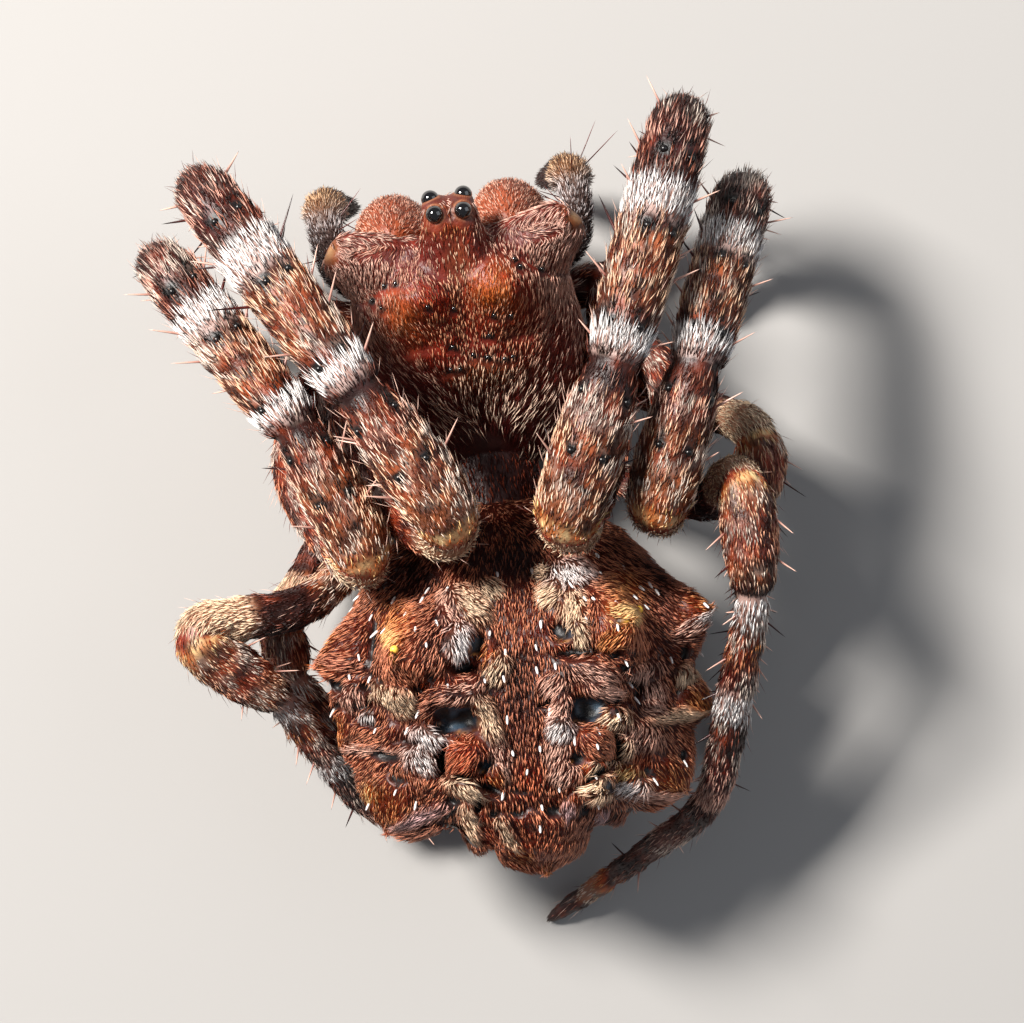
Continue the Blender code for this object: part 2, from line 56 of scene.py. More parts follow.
eye_low, eye_high = (np.array(corner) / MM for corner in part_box("eye_rear_right"))
PLAN_TO_FRAME = (eye_low + eye_high) / 2 - REAR_EYE
FLOOR = -PLAN_TO_FRAME[2]

# %% [markdown]
# The photograph looks straight down on the spider's back, with the head turned a little to
# the left of upright. A long lens, sixty millimetres above the feet, keeps the raised knees
# only slightly larger than the belly, as they are there. The camera is placed by its own
# axes: the way to the head, the way to the right, and down.

# %% Camera
PICTURE = (1024, 1023)
PLAN_CENTRE_IN_PICTURE = np.array((494.0, 520.0))
HEAD_DIRECTION_IN_PICTURE = np.array((-97.0, -663.0))
PIXELS_PER_MM = 57.0
PLANE_OF_SCALE = 4.5
CAMERA_HEIGHT = 60.0
SENSOR_WIDTH = 36.0
NEAREST_SEEN = 0.001

to_head = HEAD_DIRECTION_IN_PICTURE / np.linalg.norm(HEAD_DIRECTION_IN_PICTURE)
to_right = np.array((-to_head[1], to_head[0]))
offset = np.array(PICTURE) / 2 - PLAN_CENTRE_IN_PICTURE
camera_place = np.array((offset @ to_right / PIXELS_PER_MM, offset @ to_head / PIXELS_PER_MM, CAMERA_HEIGHT))
camera_data = bpy.data.cameras.new("camera")
camera_data.sensor_width = SENSOR_WIDTH
camera_data.lens = PIXELS_PER_MM * (CAMERA_HEIGHT - PLANE_OF_SCALE) / PICTURE[0] * SENSOR_WIDTH
camera_data.clip_start = NEAREST_SEEN
camera = bpy.data.objects.new("camera", camera_data)
axes = np.eye(4)
axes[:2, 0] = to_right[0], to_head[0]
axes[:2, 1] = -to_right[1], -to_head[1]
axes[:3, 3] = (camera_place + PLAN_TO_FRAME) * MM
camera.matrix_world = Matrix(axes.tolist())
bpy.context.scene.collection.objects.link(camera)
bpy.context.scene.camera = camera
print("lens", round(camera_data.lens, 1), "mm")

# %% [markdown]
# The back has some two hundred marks: streaks of hair, hollows, pegs. They were pointed out
# on the photograph, in its own pixels. Here such a pixel becomes a place on the model: of
# many places spread over a plain form, it takes the one that the camera sees nearest to it.

# %% From the picture to the model
class Sighting:
    """A form as the camera sees it, ready to tell which of its places lies at a pixel."""

    def __init__(self, places):
        self.places = places
        spread = PIXELS_PER_MM * (CAMERA_HEIGHT - PLANE_OF_SCALE) / (CAMERA_HEIGHT - places[:, 2:])
        off = (places - camera_place)[:, :2] * spread
        self.pixels = np.array(PICTURE) / 2 + off[:, :1] * to_right + off[:, 1:] * to_head

    def at(self, px, py):
        """The place seen at a pixel."""
        return self.places[np.argmin((self.pixels[:, 0] - px) ** 2 + (self.pixels[:, 1] - py) ** 2)]

    def plan(self, pixels):
        """The places seen at some pixels, from above."""
        return np.array([self.at(*pixel)[:2] for pixel in pixels])


def way_in_plan(right, down):
    """A direction in the picture as a direction in the plan, at length one."""
    way = np.array((right, down), float)
    return np.array((way @ to_right, way @ to_head)) / np.linalg.norm(way)


print("straight down in the picture is", way_in_plan(0, 1).round(3), "in the plan")

# %% [markdown]
# Soft light comes from the upper left of the picture, as it does outdoors under a pale sky,
# and a weaker one from the other side keeps the shadows open. The floor is a plain pale sheet.

# %% Light and floor
KEY_LIGHT = {"from": (-75.0, 70.0, 110.0), "size": 36.0, "watts": 0.55, "colour": (1.0, 0.96, 0.91)}
FILL_LIGHT = {"from": (90.0, 20.0, 80.0), "size": 90.0, "watts": 0.03, "colour": (0.88, 0.94, 1.0)}
SKY_STRENGTH = 0.17
SKY_COLOUR = (0.86, 0.9, 1.0, 1.0)
FLOOR_SIZE = 600.0
FLOOR_BELOW_FEET = 0.02


def soft_light(name, facts):
    """A square area light that looks at the spider's middle."""
    data = bpy.data.lights.new(name, "AREA")
    data.energy = facts["watts"]
    data.size = facts["size"] * MM
    data.color = facts["colour"]
    light = bpy.data.objects.new(name, data)
    place = np.array(facts["from"])
    light.location = (place + PLAN_TO_FRAME) * MM
    away = place / np.linalg.norm(place)
    light.rotation_euler = (math.acos(away[2]), 0.0, math.atan2(away[1], away[0]) + math.pi / 2)
    bpy.context.scene.collection.objects.link(light)


soft_light("key", KEY_LIGHT)
soft_light("fill", FILL_LIGHT)
world = bpy.data.worlds.new("sky")
world.use_nodes = True
world.node_tree.nodes["Background"].inputs["Color"].default_value = SKY_COLOUR
world.node_tree.nodes["Background"].inputs["Strength"].default_value = SKY_STRENGTH
bpy.context.scene.world = world
bpy.context.scene.view_settings.view_transform = "Standard"

floor_mesh = bpy.data.meshes.new("floor")
half = FLOOR_SIZE / 2 * MM
floor_corners = [(-half, -half, 0), (half, -half, 0), (half, half, 0), (-half, half, 0)]
floor_mesh.from_pydata(floor_corners, [], [(0, 1, 2, 3)])
floor = bpy.data.objects.new("floor", floor_mesh)
floor.location.z = -FLOOR_BELOW_FEET * MM
bpy.context.scene.collection.objects.link(floor)

# %% [markdown]
# Colour. The spider's markings are worked out once, as formulas of place, and written to the
# skin and to each hair that grows there, so that the two always agree. Colours are chosen as
# they look on a screen and turned into the linear light that Blender reckons in.

# %% Colours and mottling
def paint(*screen):
    """A screen colour from 0 to 255 as linear light."""
    value = np.array(screen) / 255
    return np.where(value > 0.04045, ((value + 0.055) / 1.055) ** 2.4, value / 12.92)


RUST = paint(150, 66, 40)
DARK_RUST = paint(104, 42, 30)
MAROON = paint(112, 30, 22)
AMBER = paint(236, 160, 78)
YELLOW = paint(255, 206, 84)
PINKISH = paint(234, 192, 174)
WHITE = paint(255, 250, 248)
BROWN = paint(132, 80, 54)
DARK_BROWN = paint(66, 32, 24)
BLACK = paint(12, 9, 10)
BLUE_SHEEN = paint(66, 88, 106)
# Kinds of coat: the colour of most hairs, and of the pale ones among them
COATS = {
    "rust": (paint(128, 42, 20), paint(226, 144, 108)),
    "fire": (paint(156, 44, 18), paint(232, 130, 90)),
    "dark rust": (paint(84, 27, 18), paint(206, 136, 110)),
    "umber": (paint(54, 19, 13), paint(150, 88, 72)),
    "maroon": (paint(94, 22, 16), paint(236, 180, 160)),
    "orange": (paint(184, 72, 24), paint(248, 164, 98)),
    "amber": (paint(210, 110, 42), paint(255, 212, 144)),
    "cream": (paint(150, 80, 46), paint(252, 222, 188)),
    "pink": (paint(116, 50, 34), paint(240, 190, 170)),
    "white": (paint(156, 100, 80), WHITE),
    "lilac": (paint(100, 58, 52), paint(208, 172, 174)),
    "tan": (paint(166, 90, 50), paint(250, 210, 176)),
    "chestnut": (paint(142, 60, 32), paint(244, 190, 154)),
}

LATTICE_SIZE = 32
LATTICE = np.random.default_rng(3).random((LATTICE_SIZE,) * 3)


def mottle(places, size, shift=0.0):
    """Smooth random values from 0 to 1: a lattice of random numbers, blended between its points."""
    grid = places / size + shift + 2.0 * LATTICE_SIZE
    cell = np.floor(grid).astype(int)
    part = grid - cell
    part = part ** 2 * (3 - 2 * part)
    total = np.zeros(len(places))
    for corner in np.ndindex(2, 2, 2):
        weight = np.prod(np.where(np.array(corner) == 1, part, 1 - part), axis=1)
        index = (cell + corner) % LATTICE_SIZE
        total += weight * LATTICE[index[:, 0], index[:, 1], index[:, 2]]
    return total


def alike(row, number):
    """The same row of values for each of a number of places."""
    return np.tile(row, (number, 1))


def blend(colours, other, share):
    """Moves each colour towards another by its share."""
    share = np.clip(share, 0, 1)[:, None]
    return colours * (1 - share) + np.asarray(other) * share


def patch(x, y, centre, radii):
    """A soft patch seen from above: one at its centre, falling to nothing like a bell."""
    return np.exp(-((x - centre[0]) / radii[0]) ** 2 - ((y - centre[1]) / radii[1]) ** 2)


def step_up(value, edge, softness):
    """Goes from 0 to 1 as value passes edge."""
    return 1 / (1 + np.exp(-np.clip((value - edge) / softness, -40, 40)))


print("colours ready; rust is", RUST.round(3))

# %% [markdown]
# Materials. Skin and hair read the same colour attribute. Skin adds fine grain and a little
# shine, because bare cuticle glints between the hairs. Hair is smoother still: each one throws
# back a streak of light, and those streaks are what makes the coat look combed.

# %% Materials
def new_material(name, roughness, specular=0.5):
    """An empty Principled material and its shader."""
    made = bpy.data.materials.new(name)
    made.use_nodes = True
    shader = made.node_tree.nodes["Principled BSDF"]
    shader.inputs["Roughness"].default_value = roughness
    shader.inputs["Specular IOR Level"].default_value = specular
    return made, shader


def marked_material(name, roughness, grain_size, grain_depth, variation=0.25, specular=0.5):
    """A finish that takes its colour from the markings, shaded and roughened by fine noise."""
    made, shader = new_material(name, roughness, specular)
    nodes, links = made.node_tree.nodes, made.node_tree.links
    markings = nodes.new("ShaderNodeAttribute")
    markings.attribute_name = "markings"
    place = nodes.new("ShaderNodeTexCoord")
    noise = nodes.new("ShaderNodeTexNoise")
    noise.inputs["Scale"].default_value = 1 / (grain_size * MM)
    noise.inputs["Detail"].default_value = 4.0
    links.new(place.outputs["Object"], noise.inputs["Vector"])
    shade = nodes.new("ShaderNodeMapRange")
    shade.inputs["To Min"].default_value = 1 - variation
    shade.inputs["To Max"].default_value = 1 + variation
    links.new(noise.outputs["Fac"], shade.inputs["Value"])
    product = nodes.new("ShaderNodeVectorMath")
    product.operation = "MULTIPLY"
    links.new(markings.outputs["Color"], product.inputs[0])
    links.new(shade.outputs["Result"], product.inputs[1])
    links.new(product.outputs["Vector"], shader.inputs["Base Color"])
    if grain_depth:
        bump = nodes.new("ShaderNodeBump")
        bump.inputs["Distance"].default_value = grain_depth * MM
        links.new(noise.outputs["Fac"], bump.inputs["Height"])
        links.new(bump.outputs["Normal"], shader.inputs["Normal"])
    return made


SKIN = marked_material("skin", 0.46, 0.07, 0.016)
HAIR = marked_material("hair", 0.4, 0.25, 0.0, variation=0.12, specular=0.35)
SPINE = marked_material("spine", 0.3, 0.1, 0.0, variation=0.1)
SOFT_SKIN = marked_material("soft_skin", 0.3, 0.12, 0.01)
EYE_BLACK = (0.004, 0.0035, 0.004, 1)
FLOOR_GREY = (0.4, 0.39, 0.38, 1)
EYE, eye_shader = new_material("eye", 0.05, 0.7)
eye_shader.inputs["Base Color"].default_value = EYE_BLACK
eye_shader.inputs["Coat Weight"].default_value = 1.0
eye_shader.inputs["Coat Roughness"].default_value = 0.02
floor_material, floor_shader = new_material("floor", 0.8, 0.2)
floor_shader.inputs["Base Color"].default_value = FLOOR_GREY
floor_mesh.materials.append(floor_material)
print(len(bpy.data.materials), "materials")

# %% [markdown]
# Surfaces. Each piece of skin is a function of two numbers, u from one end to the other and
# v once round, so the same function gives the mesh, the place of a hair's root, and the way
# the surface faces there. The mesh closes to a point at both ends.

# %% Surfaces to meshes
def put_piece(name, places, faces, colours, material, uvs=None, replaces=()):
    """Makes an object from arrays: places in millimetres, triangles, a colour for each vertex."""
    mesh = bpy.data.meshes.new(name)
    mesh.vertices.add(len(places))
    mesh.vertices.foreach_set("co", ((places + PLAN_TO_FRAME) * MM).ravel())
    mesh.loops.add(faces.size)
    mesh.loops.foreach_set("vertex_index", faces.ravel())
    mesh.polygons.add(len(faces))
    mesh.polygons.foreach_set("loop_start", np.arange(0, faces.size, 3))
    mesh.update(calc_edges=True)
    if uvs is not None:
        mesh.uv_layers.new(name="OFBake").data.foreach_set("uv", uvs.ravel())
    tint = mesh.color_attributes.new("markings", "FLOAT_COLOR", "POINT")
    tint.data.foreach_set("color", np.hstack([colours, np.ones((len(colours), 1))]).ravel())
    mesh.shade_smooth()
    mesh.materials.append(material)
    piece = bpy.data.objects.new(name, mesh)
    bpy.context.scene.collection.objects.link(piece)
    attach(piece, "root")
    if replaces:
        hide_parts(*replaces)


def closed_grid(rows, columns):
    """Vertex parameters, triangles and corner UVs of a tube closed to a point at both ends."""
    u = np.repeat(np.arange(1, rows) / rows, columns)
    v = np.tile(np.arange(columns) / columns, rows - 1)
    u, v = np.append(u, (0.0, 1.0)), np.append(v, (0.0, 0.0))
    row, column = np.divmod(np.arange((rows - 2) * columns), columns)
    after = (column + 1) % columns
    a, b = row * columns + column, row * columns + after
    c, d = a + columns, b + columns
    column_now, column_next = column / columns, (column + 1) / columns
    up, down = (row + 1) / rows, (row + 2) / rows
    around = np.arange(columns)
    around_next = (around + 1) % columns
    first, last = (rows - 1) * columns, (rows - 1) * columns + 1
    foot = (rows - 2) * columns
    faces = np.vstack([
        np.stack([a, c, b], 1), np.stack([b, c, d], 1),
        np.stack([np.full(columns, first), around, around_next], 1),
        np.stack([foot + around, np.full(columns, last), foot + around_next], 1),
    ])
    middle = (around + 0.5) / columns
    start, end, edge = np.zeros(columns), np.ones(columns), 1 / rows
    here, then = around / columns, (around + 1) / columns
    corners = (
        (up, column_now, down, column_now, up, column_next),
        (up, column_next, down, column_now, down, column_next),
        (start, middle, start + edge, here, start + edge, then),
        (end - edge, here, end, middle, end - edge, then),
    )
    return u, v, faces, np.vstack([np.stack(row, 1).reshape(-1, 3, 2) for row in corners])


def inside_out(places, faces):
    """Whether closed surfaces hold a volume under zero, so that their triangles face inwards."""
    a, b, c = (places[faces[:, k]] for k in range(3))
    return np.einsum("ij,ij->", a, np.cross(b, c)) < 0


def put_skin(name, surface, marks, rows, columns, slot, material=None, replaces=()):
    """The skin of one piece: its surface on a grid, coloured by its markings."""
    u, v, faces, uvs = closed_grid(rows, columns)
    places = surface(u, v)
    if inside_out(places, faces):
        faces, uvs = faces[:, ::-1], uvs[:, ::-1]
    put_piece(name, places, faces, marks(u, v, places)["skin"], material or SKIN, uvs, replaces)
    print(name, len(faces), "triangles")


def facing(surface, u, v, towards_centre):
    """Places on a surface, their outward normals, the area of a small step there, and its two ways."""
    step = 1e-3
    u = np.clip(u, 2 * step, 1 - 2 * step)
    places = surface(u, v)
    along = (surface(u + step, v) - places) / step
    around = (surface(u, v + step) - places) / step
    normals = np.cross(along, around)
    area = np.linalg.norm(normals, axis=1)
    normals /= np.maximum(area, 1e-9)[:, None]
    outward = np.sign(np.einsum("ij,ij->i", normals, places - towards_centre(u)))
    return places, normals * np.where(outward == 0, 1, outward)[:, None], area, along, around

# %% [markdown]
# Hair. A real coat here has tens of thousands of hairs, and each is a bent, three-sided
# spindle with its root in the skin. They are sown evenly by a sequence that never clumps, more
# where the skin is larger. A hair leaves the skin at one angle and ends at a flatter one. Its
# colour is painted darker at the root, as shade among the hairs, and lighter at the tip, as a
# painted highlight. All of them are worked out together as arrays, in a few seconds.

# %% Sowing and growing
STEP_U, STEP_V = 0.7548776662466927, 0.5698402909980532
HAIRS_PER_PIECE = 30000
HAIR_FACES = np.array([(0, 2, 1), (0, 3, 2), (0, 1, 3), (1, 2, 4), (2, 3, 4), (3, 1, 4)])
ROOT_DEPTH = 0.02
CLEAR_OF_FLOOR = 0.003
# Shares of a hair's length up to its bend and beyond it, and the size of its patch in the UV map
TO_BEND, BEYOND_BEND = 0.42, 0.58
PATCH = 0.0015
TRIAL_ROOTS = 4000


def sow(surface, centre, count, seed, wanted=None):
    """Parameters of roots spread evenly over a surface, and thinner where wanted() is under one."""
    draw = np.random.default_rng(seed)

    def worth(number):
        u = (0.5 + STEP_U * number + 0.137 * seed) % 1
        v = (0.5 + STEP_V * number + 0.311 * seed) % 1
        places, normals, area, _, _ = facing(surface, u, v, centre)
        if wanted is not None:
            area = area * wanted(u, v, places, normals)
        return u, v, area

    _, _, trial = worth(np.arange(TRIAL_ROOTS))
    top = np.quantile(trial, 0.97) * 1.02
    tries = int(count * top / np.minimum(trial, top).mean())
    u, v, area = worth(np.arange(tries))
    kept = draw.random(tries) < area / top
    return u[kept], v[kept]


def unit(vectors):
    """Each vector at length one."""
    return vectors / np.maximum(np.linalg.norm(vectors, axis=1), 1e-9)[:, None]


def grow(name, roots, normals, lie, length, width, lift, colours, root_uv, seed, droop=0.35,
         root_shade=0.2, stray=0.14):
    """Hairs as closed spindles along their lie, lifted by an angle that droops beyond their bend."""
    draw = np.random.default_rng(seed)
    number = len(roots)
    lie = unit(lie - np.einsum("ij,ij->i", lie, normals)[:, None] * normals)
    lie = unit(lie + np.cross(normals, lie) * draw.normal(0, stray, number)[:, None])
    length = length * draw.uniform(0.75, 1.2, number)
    lift = lift * draw.uniform(0.6, 1.4, number)

    def heading(angle):
        return lie * np.cos(angle)[:, None] + normals * np.sin(angle)[:, None]

    first, second = heading(lift), heading(lift * droop)
    base = roots - normals * ROOT_DEPTH
    middle = base + first * (length * TO_BEND)[:, None]
    side = np.cross(lie, normals)
    places = np.empty((number, 5, 3))
    places[:, 0] = base
    for k in range(3):
        turn = 2 * math.pi * k / 3
        out = side * math.cos(turn) + np.cross(first, side) * math.sin(turn)
        places[:, 1 + k] = middle + out * width[:, None]
    places[:, 4] = middle + second * (length * BEYOND_BEND)[:, None]
    places[:, :, 2] = np.maximum(places[:, :, 2], FLOOR + CLEAR_OF_FLOOR)
    # Painted shade and highlight: each hair is darkened at its root, as shade among the hairs, and lightened
    # at its tip.
    shade = np.array((root_shade, 0.8, 0.8, 0.8, 1.2))
    tints = colours[:, None, :] * shade[None, :, None]
    spread = np.array([(math.cos(t), math.sin(t)) for t in np.linspace(0, 5.0, 5)]) * PATCH
    for start in range(0, number, HAIRS_PER_PIECE):
        part = slice(start, start + HAIRS_PER_PIECE)
        many = len(places[part])
        faces = (HAIR_FACES[None] + 5 * np.arange(many)[:, None, None]).reshape(-1, 3)
        uv = (root_uv[part][:, None, :] + spread[None]).reshape(-1, 2)
        put_piece(
            f"{name}_{start // HAIRS_PER_PIECE + 1}", places[part].reshape(-1, 3), faces,
            tints[part].reshape(-1, 3), HAIR, uv[faces])
    print(name, number, "hairs,", number * 6, "triangles")


def put_coat(name, surface, centre, marks, lie_of, slot, count, seed, length, width, lift, wanted=None,
             root_shade=0.2):
    """Sows and grows the coat of one piece, its hairs coloured by the same markings as the skin."""
    u, v = sow(surface, centre, count, seed, wanted)
    places, normals, _, along, around = facing(surface, u, v, centre)
    found = marks(u, v, places)
    keep = found.get("bare", np.zeros(len(u))) < 0.5
    draw = np.random.default_rng(seed + 100)
    pale = draw.random(len(u)) < found["share"]
    colours = np.where(pale[:, None], found["pale"], found["hair"] * 0.9)
    colours = colours * draw.uniform(0.5, 1.25, len(u))[:, None]
    lengths = length * found.get("length", np.ones(len(u))) * np.where(pale, 1.1, 0.95)
    widths = width * found.get("width", np.ones(len(u))) * np.where(pale, 1.15, 0.9)
    lies = lie_of(places, normals, along, around)
    lift = lift * found.get("lift", np.ones(len(u))) * np.where(pale, 1.15, 0.85)
    grow(name, places[keep], normals[keep], lies[keep], lengths[keep], widths[keep], lift[keep],
         colours[keep], np.stack([u, v], 1)[keep], seed, root_shade=root_shade)


def dress(part, end, surface, centre, marks, lie_of, grid, slot, replaces, **coat):
    """Skin and coat of one part; the end of their names tells which of several parts it is."""
    put_skin(f"{part}_skin{end}", surface, marks, *grid, slot, replaces=replaces)
    put_coat(f"{part}_coat{end}", surface, centre, marks, lie_of, slot, **coat)

# %% [markdown]
# The coat of the back and the head is not one even fleece. It falls into streams: each is a
# small swelling with a colour of its own, whose hairs all run to one point. A stream is a row
# of numbers, and a place takes its colour, its height and its lie from the streams near it,
# weighted by how far it lies inside each one's ellipse.

# %% Streams of hair
def ellipse_distance(x, y, rows):
    """How far each place lies from each row's centre, counted in the row's own turned radii."""
    dx, dy = x[:, None] - rows[:, 0], y[:, None] - rows[:, 1]
    turn = np.radians(rows[:, 4])
    along = (dx * np.cos(turn) + dy * np.sin(turn)) / rows[:, 2]
    across = (dy * np.cos(turn) - dx * np.sin(turn)) / rows[:, 3]
    return np.hypot(along, across)


def ellipse_in_plan(sighting, px, py, radius_x, radius_y, turn):
    """An ellipse laid over the picture, as one in the plan: its middle, radii and turn in degrees."""
    way = way_in_plan(math.cos(math.radians(turn)), math.sin(math.radians(turn)))
    degrees = math.degrees(math.atan2(way[1], way[0]))
    return *sighting.at(px, py)[:2], radius_x / PIXELS_PER_MM, radius_y / PIXELS_PER_MM, degrees


FAR_POINT = 3.0
TO, ALONG = "to", "along"


class Streams:
    """Many small swellings of the skin, each with hair of its own colour that runs to its own point."""

    def __init__(self, groups, sighting, background, softness=0.16, enlarged=1.0, corner=(0, 0)):
        def one_row(px, py, radius_x, radius_y, turn, share, height, kind, a, b):
            px, py = px / enlarged + corner[0], py / enlarged + corner[1]
            ellipse = ellipse_in_plan(sighting, px, py, radius_x / enlarged, radius_y / enlarged, turn)
            if kind == TO:
                point = sighting.at(a / enlarged + corner[0], b / enlarged + corner[1])[:2]
            else:
                point = ellipse[:2] + way_in_plan(a, b) * FAR_POINT
            return *ellipse, share, height, *point

        self.rows = np.array([one_row(*row) for rows in groups.values() for row in rows])
        kinds = [kind for kind, rows in groups.items() for _ in rows]
        self.hair = np.array([COATS[kind][0] for kind in kinds])
        self.pale = np.array([COATS[kind][1] for kind in kinds])
        self.background = background
        self.softness = softness

    def weights(self, x, y):
        """How much each row rules at each place; small rows win over large ones that they lie on."""
        near = np.exp(-1.5 * ellipse_distance(x, y, self.rows) ** 2)
        near = near ** 2 / (self.rows[:, 2] * self.rows[:, 3]) * 0.05
        return near / (near.sum(1) + self.background)[:, None]

    def height(self, x, y):
        """The swellings: flat on top, falling off steeply at their rim."""
        inside = 1 - step_up(ellipse_distance(x, y, self.rows), 1.0, self.softness)
        return inside @ self.rows[:, 6]

    def colours(self, x, y, hair, pale, share):
        """Hair, pale hair and its share at each place, blended into those given for the rest."""
        weight = self.weights(x, y)
        rest = (1 - weight.sum(1))[:, None]
        shares = weight @ self.rows[:, 5] + rest[:, 0] * share
        return weight @ self.hair + rest * hair, weight @ self.pale + rest * pale, shares

    def lie(self, x, y, rest):
        """The way the hair runs: towards the rows' points, or the given way outside of them."""
        weight = self.weights(x, y)
        dx, dy = self.rows[:, 7] - x[:, None], self.rows[:, 8] - y[:, None]
        distance = np.maximum(np.hypot(dx, dy), 0.02)
        run = np.stack([(weight * dx / distance).sum(1), (weight * dy / distance).sum(1), 0 * x], 1)
        return run + rest * (1 - weight.sum(1))[:, None]


print("streams ready")

# %% [markdown]
# The abdomen is a broad cushion that lobes draw out: a pair of tall humps on its shoulders
# that give the species its name, blunt points along the sides, and one behind. Between them
# the skin is tied down by muscles, at black glossy hollows in two rows. The lobes are pulls
# on the cushion that fade with the angle from their tip, the hollows are bells sunk into it,
# and low ridges between the hollows break the back into the scalloped cushions of the real one.

# %% Abdomen: shape
COAT_DEPTH = 0.07
ABDOMEN_MIDDLE = np.array((0.0, -2.9, 2.8))
ABDOMEN_HALF_LENGTH = 3.32
ABDOMEN_HALF_WIDTH = 3.2
BACK_HEIGHT = 2.2
BELLY_DEPTH = 2.05
REAR_RISE = 0.45
SHOULDER_WIDENING = 0.04
TAIL_LOBE = ((0.0, -6.42, 3.6), 0.45, 1.4)
SIDED_LOBES = {
    "shoulder": ((2.14, -1.98, 5.7), 0.44, 1.4),
    "front side": ((3.66, -2.05, 3.9), 0.42, 1.4),
    "middle side": ((3.44, -3.92, 3.15), 0.42, 1.3),
    "rear side": ((2.76, -5.32, 3.35), 0.42, 1.2),
    "low rear": ((1.3, -5.9, 2.3), 0.34, 1.2),
    "back ridge": ((1.3, -3.85, 5.2), 0.28, 1.2),
    "rear ridge": ((1.1, -5.05, 4.95), 0.28, 1.2),
}


def both_sides(point):
    """A point of the right side and its mirror image."""
    return np.array(point), np.array(point) * (-1, 1, 1)


LOBES = [(np.array(TAIL_LOBE[0]), *TAIL_LOBE[1:])]
for tip, spread, sharpness in SIDED_LOBES.values():
    LOBES += [(place, spread, sharpness) for place in both_sides(tip)]


def ball(u, v, pole="y"):
    """Directions over a ball, from one pole (u = 0) to the other; v is measured from straight up."""
    out, along = np.sin(math.pi * u), np.cos(math.pi * u)
    if pole == "y":
        return np.stack([out * np.sin(2 * math.pi * v), along, out * np.cos(2 * math.pi * v)], 1)
    return np.stack([out * np.sin(2 * math.pi * v), out * np.cos(2 * math.pi * v), along], 1)


def cushion(n, inset=0.0):
    """The abdomen before its lobes: a ball stretched by its half sizes, its middle rising to the rear."""
    x = (ABDOMEN_HALF_WIDTH - inset) * n[:, 0] * (1 + SHOULDER_WIDENING * n[:, 1])
    y = ABDOMEN_MIDDLE[1] + (ABDOMEN_HALF_LENGTH - inset) * n[:, 1]
    height = np.where(n[:, 2] > 0, BACK_HEIGHT, BELLY_DEPTH) - inset
    return np.stack([x, y, ABDOMEN_MIDDLE[2] - REAR_RISE * n[:, 1] + height * n[:, 2]], 1)


def lobe_pull(n, lobes=LOBES):
    """How far the lobes pull each place, and the strongest single pull as a share from 0 to 1."""
    half_size = np.array((ABDOMEN_HALF_WIDTH, ABDOMEN_HALF_LENGTH, BACK_HEIGHT))
    pulled, strongest = np.zeros_like(n), np.zeros(len(n))
    for tip, spread, sharpness in lobes:
        towards = unit(((tip - ABDOMEN_MIDDLE) / half_size)[None])
        pull = tip - cushion(towards)[0]
        share = np.clip(1 - np.arccos(np.clip(n @ towards[0], -1, 1)) / spread, 0, 1)
        pulled += share[:, None] ** sharpness * pull
        strongest = np.maximum(strongest, share)
    return pulled, strongest
